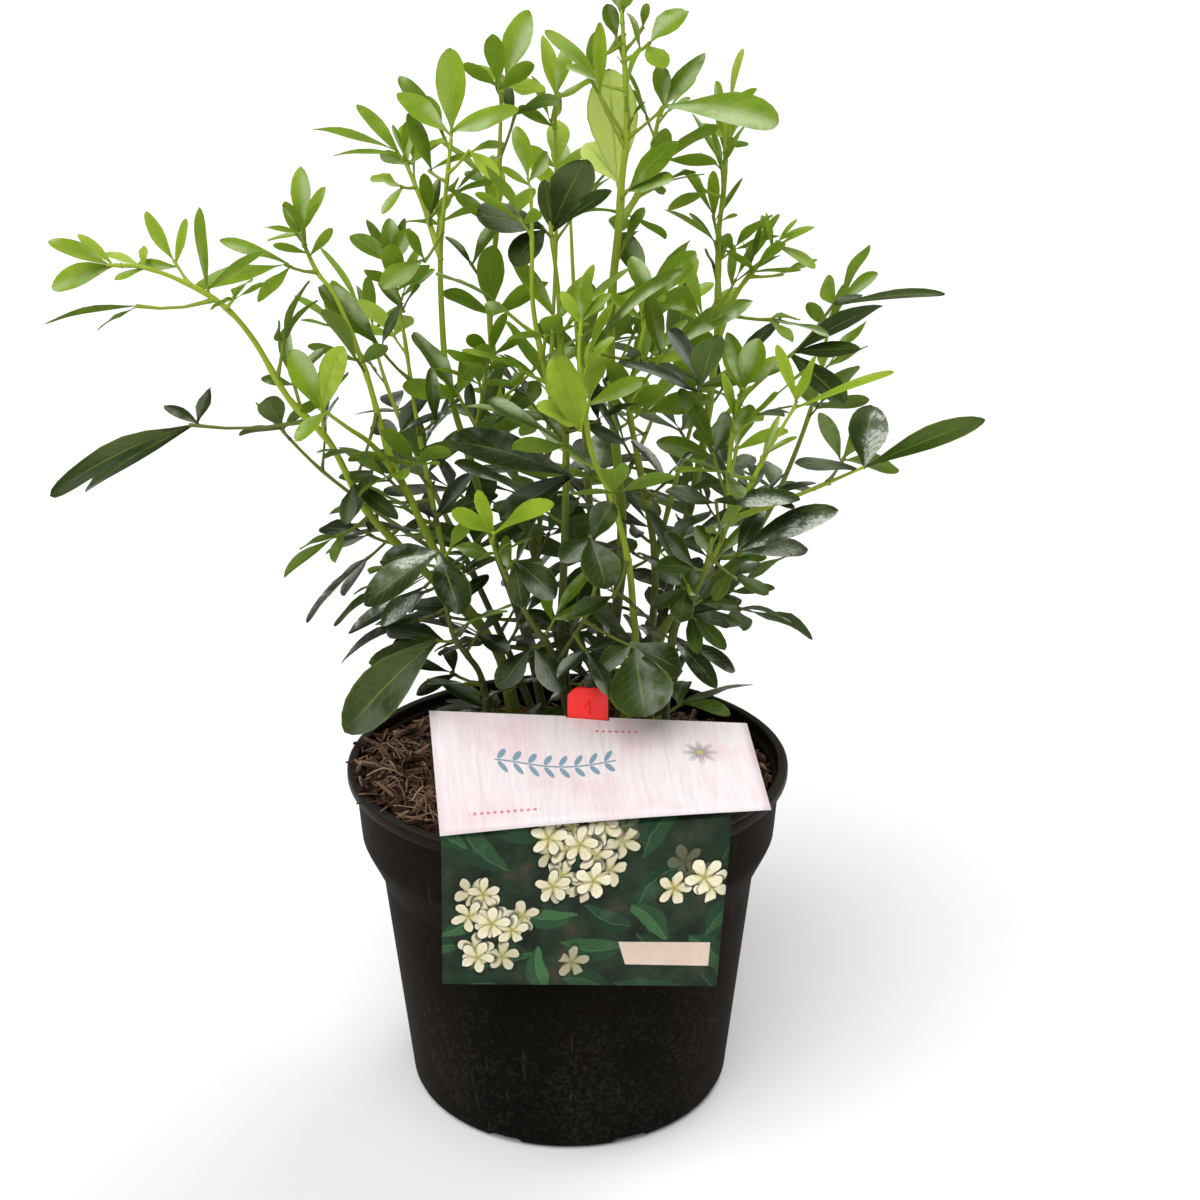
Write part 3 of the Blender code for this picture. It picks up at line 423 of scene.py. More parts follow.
soil = {
    "z": 139, "heap": 12, "heapSide": Vector((-0.8, -0.6)), "rightHeap": 6.5,
    # on the left it lies up against the rim, and some chips lie on the rim itself
    "brim": -2, "bankHeight": 5.5, "bankSide": Vector((-0.95, -0.3)), "spill": 3,
    "rings": 62, "steps": 190, "lump": 2.6,
    "seed": 8,
    # sizes of a chip: the least, and how much the largest has more
    "chips": 2100, "chipLong": (4, 15), "chipWide": (0.9, 3.4), "chipThick": (0.5, 1.2),
    "chipLean": (0.35, 0.5), "chipTone": (0.4, 0.34), "ragged": 0.25,
    "fibres": 1100, "fibreLong": (6, 24), "fibreArch": (0, 3.4), "fibreThick": (0.16, 0.42),
    "fibreBow": 0.35, "fibreTone": (0.3, 0.95),
}


def soilHeight(x, y):
    heaped = max(0, (x * soil["heapSide"].x + y * soil["heapSide"].y) / pot["shoulderR"])
    return soil["z"] + soil["heap"] * heaped


def soilSurface(x, y):
    # the compost with its lumps, heaped a little to the right as well
    place = Vector((x, y, 3))
    right = max(0, (x * 0.95 - y * 0.25) / pot["shoulderR"])
    lumps = noise.fractal(place * 0.055, 1, 2, 4) * 0.8 + noise.noise(place * 0.35) * 0.55
    lumps += noise.cell(place * 0.42) * 0.35
    height = soilHeight(x, y) + lumps * soil["lump"] + soil["rightHeap"] * right * right + bankAt(x, y)
    inward = max(0, pot["collarR"] - 5 - place.xy.length)
    return min(height, pot["rimZ"] + soil["brim"] + inward * 0.3 + lumps * 0.5)


def bankAt(x, y):
    across = max(0, (x * soil["bankSide"].x + y * soil["bankSide"].y) / (pot["collarR"] - 5))
    return soil["bankHeight"] * min(1, across) ** 4


def barkMaterial(name, dark, light, pale):
    # bark: each chip has its own shade, with grain along it and a few pale torn ends
    material, w, connect = newMaterial(name, {"Specular IOR Level": 0.2})
    place = objectPlace(w)
    shade = attribute(w, "shade")
    grain = place.stretched((1, 0.35, 0.8), (0.4, 0.3, 0.9)).noise(700, 5, 0.65)
    soft = place.noise(120, 4, 0.6)
    colour = (shade * 0.75 + grain * 0.4 - 0.12).ramp((0.05, dark), (0.5, light), (0.95, pale))
    colour = (soft.ease(0.55, 0.3) * 0.6).blend(colour, dark)
    connect(colour=colour, rough=0.8 + grain * 0.15, normal=(grain + soft * 0.8).bump(0.0006, 0.8))
    return material


def makeCompost():
    edge = pot["collarR"] - pot["wall"] - 2.6
    base, shoulder = pot["baseR"] - pot["wall"], pot["shoulderR"] - pot["wall"]
    profile = [
        (0, pot["floor"] + 0.4),
        (base - 4.4, pot["floor"] + 0.4),
        (base - 0.2, pot["floor"] + 4),
        (shoulder - 0.4, pot["shoulderZ"] + 1),
        (edge - 0.2, pot["collarZ"] + 1),
        (edge, soil["z"] - 5),
    ]
    profile += [(edge * (1 - i / soil["rings"]), soil["z"] + 1) for i in range(soil["rings"] + 1)]
    bm = spun(profile, soil["steps"])
    shade = bm.verts.layers.float.new("shade")
    for vert in bm.verts:
        if vert.co.z > soil["z"] * mm:
            vert.co.z = soilSurface(vert.co.x / mm, vert.co.y / mm) * mm
        vert[shade] = 0.12 + 0.35 * noise.noise(vert.co / mm * 0.6)
    bark = barkMaterial("bark", (0.01, 0.005, 0.0025), (0.11, 0.054, 0.03), (0.46, 0.3, 0.19))
    keepPiece("compost_bed", bm, [bark], ["compost"], sharp=60)
    rng = random.Random(soil["seed"])
    keepPiece("bark_chips", barkChips(rng, edge - 1.5), [bark], sharp=22)
    fibre = barkMaterial("fibre", (0.035, 0.017, 0.01), (0.18, 0.095, 0.055), (0.6, 0.44, 0.3))
    keepPiece("bark_fibres", barkFibres(rng, edge - 4), [fibre], sharp=50)
    print("compost made")


def barkChips(rng, edge):
    chips = bmesh.new()
    chips.verts.layers.float.new("shade")
    for i in range(soil["chips"]):
        turn = rng.uniform(0, math.tau)
        way = Vector((math.cos(turn), math.sin(turn)))
        reach = edge + 4.5 * between((soilSurface(*(way * edge)) - pot["rimZ"] + 6) / 4)
        reach += soil["spill"] * (bankAt(*(way * edge)) / soil["bankHeight"]) ** 2
        spread = reach * math.sqrt(rng.random())
        x, y = way * spread
        large = rng.random() ** 2.4
        shares = (large, large * rng.random(), rng.random())
        ranges = (soil["chipLong"], soil["chipWide"], soil["chipThick"])
        size = Vector([least + more * share for (least, more), share in zip(ranges, shares)])
        size.x = min(size.x, 2.2 * (reach - spread) + 5)  # short ones next to the pot's wall
        lean = Matrix.Rotation(rng.uniform(0, math.tau), 4, "Z")
        for most, axis in zip(soil["chipLean"], "YX"):
            lean = lean @ Matrix.Rotation(rng.gauss(0, most), 4, axis)
        chip = bmesh.new()
        shade = chip.verts.layers.float.new("shade")
        bmesh.ops.create_cube(chip, size=1)
        long = [e for e in chip.edges if abs(e.verts[0].co.x - e.verts[1].co.x) > 0.5]
        bmesh.ops.subdivide_edges(chip, edges=long, cuts=1)
        tone = between(rng.gauss(*soil["chipTone"]))
        for vert in chip.verts:
            # ends are torn narrow and ragged, and the whole chip bows a little
            thin = 1 - 1.1 * abs(vert.co.x) * rng.random()
            ragged = vert.co.x * (1 + soil["ragged"] * rng.random())
            bowed = vert.co.y * thin + soil["ragged"] * rng.random() * abs(ragged)
            vert.co = Vector((ragged, bowed, vert.co.z * thin))
            vert[shade] = tone
        height = soilSurface(x, y) + 0.5 + size.z * 0.25
        if spread > edge + 4:
            height = max(height, pot["rimZ"] + 0.7)  # on the rim
        place = Matrix.Translation(Vector((x, y, height)) * mm) @ lean @ Matrix.Diagonal((*(size * mm), 1))
        bmesh.ops.transform(chip, matrix=place, verts=chip.verts)
        pour(chips, chip)
    return chips


def barkFibres(rng, edge):
    fibres = bmesh.new()
    fibres.verts.layers.float.new("shade")
    for i in range(soil["fibres"]):
        spread = edge * math.sqrt(rng.random())
        turn = rng.uniform(0, math.tau)
        start = Vector((spread * math.cos(turn), spread * math.sin(turn), 0))
        way = Vector((rng.gauss(0, 1), rng.gauss(0, 1), 0)).normalized()
        bow = Vector((-way.y, way.x, 0)) * rng.gauss(0, soil["fibreBow"])
        length = rng.uniform(*soil["fibreLong"])
        arch = rng.uniform(*soil["fibreArch"])
        path = []
        for t in (0, 0.25, 0.5, 0.75, 1):
            point = start + (way * (t - 0.5) + bow * (t - t * t)) * length
            if point.xy.length < edge + 3 + 1.4 * bankAt(point.x, point.y):
                point.z = soilSurface(point.x, point.y) + 1.1 + arch * math.sin(math.pi * t)
                path.append(point)
        if len(path) < 3:
            continue
        thick = rng.uniform(*soil["fibreThick"])
        fibre = sweep(path, [thick] * len(path), 4)
        shade = fibre.verts.layers.float.new("shade")
        tone = rng.uniform(*soil["fibreTone"])
        for vert in fibre.verts:
            vert[shade] = tone
        pour(fibres, fibre)
    return fibres


# Card: one folded sheet, in rows of a left corner, a right corner and the steps to the next row,
# from the header's free edge, back and under, to the foot of the panel

card = {
    "thick": 0.45,
    "rows": (
        ((-47.2, -97, 161.8), (79, -96, 172.5), 14),
        ((-54.5, -50, 193.5), (73.4, -43, 185), 1),
        ((-54.6, -48.7, 192.7), (73.5, -41.7, 184.2), 1),
        ((-54.3, -49.4, 191.2), (73.2, -42.4, 182.7), 8),
        ((-47, -94.1, 159.5), (64, -94.6, 168.5), 1),
        ((-47, -95.3, 158), (64, -95.4, 166.6), 1),
        ((-47, -95.75, 155), (64, -95.75, 163), 12),
        ((-48.5, -93.4, 95), (60, -93.4, 94), 0),
    ),
    "columns": 26,
    "headerWide": 128, "headerDeep": 56,
    "panelWide": 111, "panelDeep": 64, "panelRow": 3, "panelHidden": 50,
    # on the header: start, end and level of the twig and the beadings, and the rosette's middle
    "twig": (24, 72, 31), "beadings": ((12, 40, 8), (64, 84, 48)), "rosette": (106, 36),
    # on the panel: middles and radii of the bunches, and the plate's left, right, foot and height
    "bunches": ((55, 13, 20), (18, 45, 16), (101, 31, 11), (55, 57, 5)), "plate": (70, 107, 50.5, 9.6),
    "bow": 1.1, "slitTall": 30,  # the slit for the stake
}

stake = {
    "x": 9, "y": -46.4, "wide": 16.4, "thick": 1.7, "top": 202.5, "neck": 174, "tip": 84, "leg": 9,
    "shoulder": 5, "taper": 4, "point": 14,
    "corner": 5.6, "gap": 0.5, "edge": 0.35,
    "arrow": {"segments": 3, "radius1": 2.9, "radius2": 1.7, "depth": 1.5},
    "arrowDown": 8.4, "arrowDeep": 0.2, "arrowStretch": (0.7, 1, 1.7, 1),
}


def printPlace(w, wide, deep):
    x, y = w.make("ShaderNodeUVMap", {"uv_map": "print"}, out="UV").parts()[:2]
    return x * wide, y * deep


def headerMaterial():
    # pale boards in print with pink stains and soft grain, a blue twig, a grey rosette and two red beadings
    material, w, connect = newMaterial("headerPrint", {"Specular IOR Level": 0.35})
    across, down = printPlace(w, card["headerWide"], card["headerDeep"])
    place = across.joined(down)
    cloud = place.noise(0.035, 3, 0.5)
    bent = across + cloud * 9
    grain = bent.joined(down * 0.06).noise(0.55, 5, 0.6)
    fine = bent.joined(down * 0.1).noise(2.2, 3, 0.6)
    joint = ((across / 25 + 0.3).maths("FRACT") - 0.5).maths("ABSOLUTE").ease(0.485, 0.497)
    start, end, level = card["twig"]
    off = down - level - (across * 0.09).maths("SINE") * 2.6
    away = off.maths("ABSOLUTE")
    long = across.ease(start, start + 0.3) * across.ease(end, end - 0.3)
    step = ((across / 6).maths("FRACT") - 0.5) * 6 - (away - 3) * 0.5
    blade = (step / 1.35).maths("POWER", 2) + ((away - 3.2) / 2.7).maths("POWER", 2)
    twig = away.ease(0.5, 0.3).maths("MAXIMUM", blade.ease(1.05, 0.85)) * long
    x, y = place.vector("SUBTRACT", (*card["rosette"], 0)).parts()[:2]
    distance = x.joined(y).vector("LENGTH", out="Value")
    petal = (y.maths("ARCTAN2", x) * 4).maths("COSINE").maths("ABSOLUTE")
    rosette = (petal.maths("POWER", 0.6) * 6 + 1.4 - distance).ease(0, 0.5)
    rosette = rosette * (0.35 + distance.ease(6, 2) * 0.5)
    beads = across * 0
    for start, end, level in card["beadings"]:
        bead = ((across / 2.6).maths("FRACT") - 0.5).maths("ABSOLUTE") * 2.6
        bead = (bead + (down - level).maths("ABSOLUTE")).ease(1, 0.75)
        bead = bead * across.ease(start, start + 0.2) * across.ease(end, end - 0.2)
        beads = beads.maths("MAXIMUM", bead)
    colour = layered(
        cloud.ramp((0.32, (0.76, 0.57, 0.6)), (0.5, (0.79, 0.7, 0.715)), (0.7, (0.745, 0.72, 0.73))),
        (grain.ease(0.42, 0.68) * 0.4, (0.62, 0.51, 0.54)),
        (grain.ease(0.45, 0.3) * 0.3, (0.83, 0.82, 0.82)),
        (fine.ease(0.5, 0.7) * 0.14 + joint * 0.22, (0.5, 0.42, 0.44)),
        (twig * 0.85, (0.085, 0.235, 0.32)),
        (rosette * 0.8, (0.13, 0.12, 0.1)),
        (distance.ease(1.3, 1.1), (0.55, 0.42, 0.12)),
        (beads * 0.8, (0.6, 0.08, 0.12)),
    )
    connect(colour=colour, rough=0.4 + grain * 0.12, normal=cloud.bump(0.0003, 0.3))
    return material


def inCells(place, size, shift):
    # round each point of a scattered pattern: that point, the distance and the angle from it, turned by
    # chance, and two random numbers
    move = (shift * 5.3, shift * 3.1, 0)
    cells = place.vector("ADD", move).cells(1 / size, flat=True, spread=0.6)
    centre = cells.other("Position").vector("SUBTRACT", move)
    away = place.vector("SUBTRACT", centre)
    x, y = away.parts()[:2]
    turn, chance, tint = cells.other("Color").parts()
    return centre, away.vector("LENGTH", out="Value"), y.maths("ARCTAN2", x) + turn * 6.28, chance, tint


def printedLeaves(colour, place, soft):
    # pointed leaves with a lit and a dark half and a pale midrib
    for size, shift, light in ((34, 0.4, 0.35), (29, 2.6, 0.6), (25, 4.1, 1)):
        centre, distance, angle, chance, tint = inCells(place, size, shift)
        along, side = distance * angle.maths("COSINE") / size, distance * angle.maths("SINE") / size
        side = side + along * along * 0.5 - 0.03
        half = (along + 0.46) * (0.46 - along) * 0.8
        inside = half - side.maths("ABSOLUTE")
        blade = layered(
            (tint * light).ramp((0, (0.01, 0.026, 0.014)), (1, (0.05, 0.14, 0.05))),
            (side.ease(-0.004, 0.012) * 0.55, (0.006, 0.02, 0.012)),
            (side.maths("ABSOLUTE").ease(0.011, 0.003) * 0.3, (0.13, 0.24, 0.1)),
            (soft.ease(0.5, 0.7) * 0.35, (0.08, 0.15, 0.09)),
        )
        colour = (inside.ease(-0.012, 0.012) * chance.ease(0.2, 0.25)).blend(colour, blade)
    return colour


def printedBlossoms(colour, place, soft):
    # cream blossoms of five petals with green hearts, in bunches, the nearer ones lighter
    for size, shift, light in ((15, 1.3, 0.45), (16, 3.7, 0.7), (15, 5.9, 0.88), (16, 8.2, 1)):
        centre, distance, angle, chance, tint = inCells(place, size, shift)
        bunch = soft * 0
        for x, y, radius in card["bunches"]:
            gap = centre.vector("DISTANCE", (x, y, 0), out="Value")
            bunch = bunch.maths("MAXIMUM", gap.ease(radius + 0.1, radius))
        streak = place.noise(1.1, 3, 0.6)
        petal = (angle * 2.5).maths("COSINE").maths("ABSOLUTE")
        reach = (petal.maths("POWER", 0.75) * 0.36 + 0.07 + tint * 0.06) * size
        there = bunch * chance.ease(0.12, 0.14)
        share = distance / size
        cream = layered(
            share.ramp((0.02, (0.24, 0.3, 0.04)), (0.07, (0.62, 0.56, 0.2)), (0.16, (0.83, 0.76, 0.5)),
                       (0.4, (0.88, 0.83, 0.64))),
            (petal.ease(0.85, 0.4) * share.ease(0.4, 0.12) * 0.8, (0.3, 0.25, 0.1)),
            (petal.ease(0.97, 1) * share.ease(0.4, 0.3) * 0.3, (0.6, 0.54, 0.3)),
            ((1 - tint) * 0.3 + (1 - light) * 0.75, (0.24, 0.22, 0.12)),
            (streak.ease(0.45, 0.7) * 0.3, (0.5, 0.44, 0.26)),
        )
        colour = layered(
            colour,
            ((reach * 1.2 - distance).ease(-0.6, 0.9) * there * 0.75, (0.006, 0.01, 0.004)),
            ((reach - distance).ease(0, 0.35) * there, cream),
        )
    return colour


def panelMaterial():
    # a print of dark leaves, with bunches of cream blossoms and a plain plate in a corner
    material, w, connect = newMaterial("panelPrint", {"Specular IOR Level": 0.12})
    across, down = printPlace(w, card["panelWide"], card["panelDeep"])
    place = across.joined(down)
    soft = place.noise(0.07, 4, 0.6)
    place = place.vector("ADD", place.noise(0.16, 2).other(1).vector("MULTIPLY", (2.6, 2.6, 0)))
    colour = soft.ramp((0.3, (0.006, 0.01, 0.006)), (0.55, (0.018, 0.034, 0.018)),
                       (0.72, (0.06, 0.045, 0.028)))
    colour = printedBlossoms(printedLeaves(colour, place, soft), place, soft)
    left, right, foot, tall = card["plate"]
    slope = down - foot - across * 0.02
    plate = slope.ease(0, 0.25) * slope.ease(tall, tall - 0.25)
    plate = plate * (across - slope * 0.35).ease(left, left + 0.3) * across.ease(right, right - 0.3)
    colour = plate.blend(colour, soft.ramp((0.3, (0.6, 0.46, 0.37)), (0.7, (0.72, 0.6, 0.5))))
    connect(colour=colour, rough=0.42 + soft * 0.12, normal=soft.bump(0.0003, 0.3))
    return material


def makeCard():
    # a grid whose lines are laid along the card's rows, and which then gets the card's thickness
    rows = card["rows"]
    starts = [sum(row[2] for row in rows[:i]) for i in range(len(rows))]
    columns, lines = card["columns"], starts[-1]
    lengths = [(Vector(low[0]) - Vector(top[0])).length for top, low in zip(rows, rows[1:])]
    bm = bmesh.new()
    bmesh.ops.create_grid(bm, x_segments=columns, y_segments=lines, size=1)
    uv = bm.loops.layers.uv.new("print")
    for face in bm.faces:
        line = math.floor((1 - face.calc_center_median().y) / 2 * lines)
        row = max(i for i in range(len(rows) - 1) if starts[i] <= line)
        face.material_index = 0 if row == 0 else 2 if row >= card["panelRow"] else 1
        for loop in face.loops:
            at = (1 - loop.vert.co.y) / 2 * lines - starts[row]
            down = at / rows[row][2]
            if row >= card["panelRow"]:
                down = sum(lengths[card["panelRow"]:row]) + down * lengths[row] - card["panelHidden"]
                down /= card["panelDeep"]
            loop[uv].uv = ((loop.vert.co.x + 1) / 2, down)
    for vert in bm.verts:
        share, at = (vert.co.x + 1) / 2, (1 - vert.co.y) / 2 * lines
        row = max(i for i in range(len(rows) - 1) if starts[i] <= at + 0.01)
        down = (at - starts[row]) / rows[row][2]
        top, low = [Vector(left).lerp(Vector(right), share) for left, right, steps in rows[row:row + 2]]
        point = top.lerp(low, down)
        if row == 0:
            point.z += card["bow"] * math.sin(math.pi * share) * (1 - down)  # the free flap bows a little
        vert.co = point * mm
    bm.normal_update()
    flap = max((face for face in bm.faces if face.material_index == 0), key=lambda face: abs(face.normal.z))
    if flap.normal.z < 0:
        bmesh.ops.reverse_faces(bm, faces=bm.faces)
    white = plainMaterial("cardBack", (0.8, 0.79, 0.78), 0.5)
    materials = [headerMaterial(), white, white, panelMaterial()]
    sheet = keepPiece("card_label", bm, materials, ["card"])
    wall = sheet.modifiers.new("thickness", "SOLIDIFY")
    wall.thickness = card["thick"] * mm
    wall.offset = 0
    wall.use_even_offset = True
    wall.material_offset = 1
    wall.material_offset_rim = 1
    applyModifiers(sheet)
    slit = (stake["wide"] + 2 * stake["gap"], stake["thick"] + 2 * stake["gap"], card["slitTall"])
    cutAway(sheet, [boxAt(Vector((stake["x"], stake["y"], stake["neck"] + slit[2] / 2)), slit)])
    print("card made")


def makeStake():
    # a flat red tab with round shoulders, a small raised arrow and a pointed leg
    half, leg, corner = stake["wide"] / 2, stake["leg"] / 2, stake["corner"]
    top, neck, tip = stake["top"], stake["neck"], stake["tip"]
    shoulder, taper, point = neck + stake["shoulder"], neck - stake["taper"], tip + stake["point"]
    outline = arc((half - corner, top - corner), corner, 0, 90, 8)
    outline += [(-x, z) for x, z in outline[::-1]]
    outline += [(-half, shoulder), (-leg, taper), (-leg, point), (-1, tip)]
    outline += [(1, tip), (leg, point), (leg, taper), (half, shoulder)]
    front = stake["y"] - stake["thick"] / 2
    bm = bmesh.new()
    face = bm.faces.new([bm.verts.new(Vector((stake["x"] + x, front, z)) * mm) for x, z in outline])
    grown = bmesh.ops.extrude_face_region(bm, geom=[face], use_keep_orig=True)["geom"]
    moved = [item for item in grown if isinstance(item, bmesh.types.BMVert)]
    bmesh.ops.translate(bm, vec=(0, stake["thick"] * mm, 0), verts=moved)
    bmesh.ops.recalc_face_normals(bm, faces=bm.faces)
    rim = [e for e in bm.edges if abs(e.verts[0].co.y - e.verts[1].co.y) < 0.1 * mm]
    bmesh.ops.bevel(bm, geom=rim, offset=stake["edge"] * mm, affect="EDGES", segments=2, profile=0.5,
                    material=-1)
    arrow = bmesh.new()
    bmesh.ops.create_cone(arrow, cap_ends=True, **stake["arrow"])
    turn = Matrix.Rotation(math.radians(90), 4, "X") @ Matrix.Rotation(math.radians(90), 4, "Z")
    place = Matrix.Translation((stake["x"], front - stake["arrowDeep"], top - stake["arrowDown"]))
    place = place @ Matrix.Diagonal(stake["arrowStretch"])
    bmesh.ops.transform(arrow, matrix=Matrix.Scale(mm, 4) @ place @ turn, verts=arrow.verts)
    pour(bm, arrow)
    red = plainMaterial("redPlastic", (1, 0.011, 0.007), 0.36, 500)
    keepPiece("label_stake", bm, [red], ["stake"], sharp=30)
    print("stake made")


# Shrub: laid out as the solids are, from the same values, with the rest of the small leaves added

view = {
    "tilt": math.radians(19.6), "distance": 769, "aim": Vector((13.9, 0, 222.9)),
    "focus": 1829, "middle": 600,  # in the view's own units, with 0 at its left and top edge
}

growth = {
    "rootDepth": 44, "rise": 12, "stemSides": 5,
    "stemEnd": 1.05, "branchShare": 0.66, "branchEnd": 0.95,
    "bladeThick": 1.3, "largeLeaflet": 33, "stalk": 0.85, "baseIn": 0.7, "baseStep": 1.3,
    "gap": 0.9, "smallGap": 0.25, "seed": 21, "placesStep": 7,
    "margin": 5, "joined": 0.5, "shifts": (0, -5, 6, -10, 12, -16, 18, -24, 26, -32, 36),
    "upright": 270, "close": 0.62, "slim": 0.82,  # small leaves above this height keep close to the shoot
    # leaves set out one by one: a share of a leaf's move in depth for its tips, and angles in radians
    "tipShare": 0.4, "bend": (0.15, 0.55), "fold": (0.12, 0.3),
    # leaves by rule: shares of a leaf's size, and angles in degrees
    "stalkShare": (0.45, 0.75), "lengthShare": (0.88, 1.1), "widthShare": (0.34, 0.43),
    "sideLeaflet": 0.8, "sideAngle": (44, 62), "droop": 0.16,
    "closer": 0.4, "tipDown": 1.5, "turn": 0.3,
    "lean": (72, 26), "bareEnd": 9,
    "tipLean": (16, 12), "tipStep": 4, "tipAge": 0.18,
    "lowSize": (22, 34), "lowPitch": (11, 17), "lowLean": 1.25, "lowStart": (60, 8), "lowTurn": 0.4,
    "overRim": 4, "pastRim": 6, "hang": 20,  # how low a leaf may reach over the pot and outside it
    # places in the view, with a radius, where the background shows through
    "clear": (
        (475, 262, 18), (515, 258, 15), (583, 250, 24), (676, 214, 22), (372, 402, 22), (406, 380, 18),
        (300, 490, 38), (262, 420, 40), (762, 312, 20), (788, 448, 24), (672, 520, 13), (493, 592, 14),
        (567, 600, 12), (600, 125, 26), (560, 190, 24), (700, 60, 40), (340, 100, 30), (850, 560, 40),
        (712, 668, 26), (770, 640, 30), (690, 690, 16), (474, 664, 20), (200, 330, 50), (522, 318, 16),
        (646, 470, 12), (682, 716, 12),
    ),
}
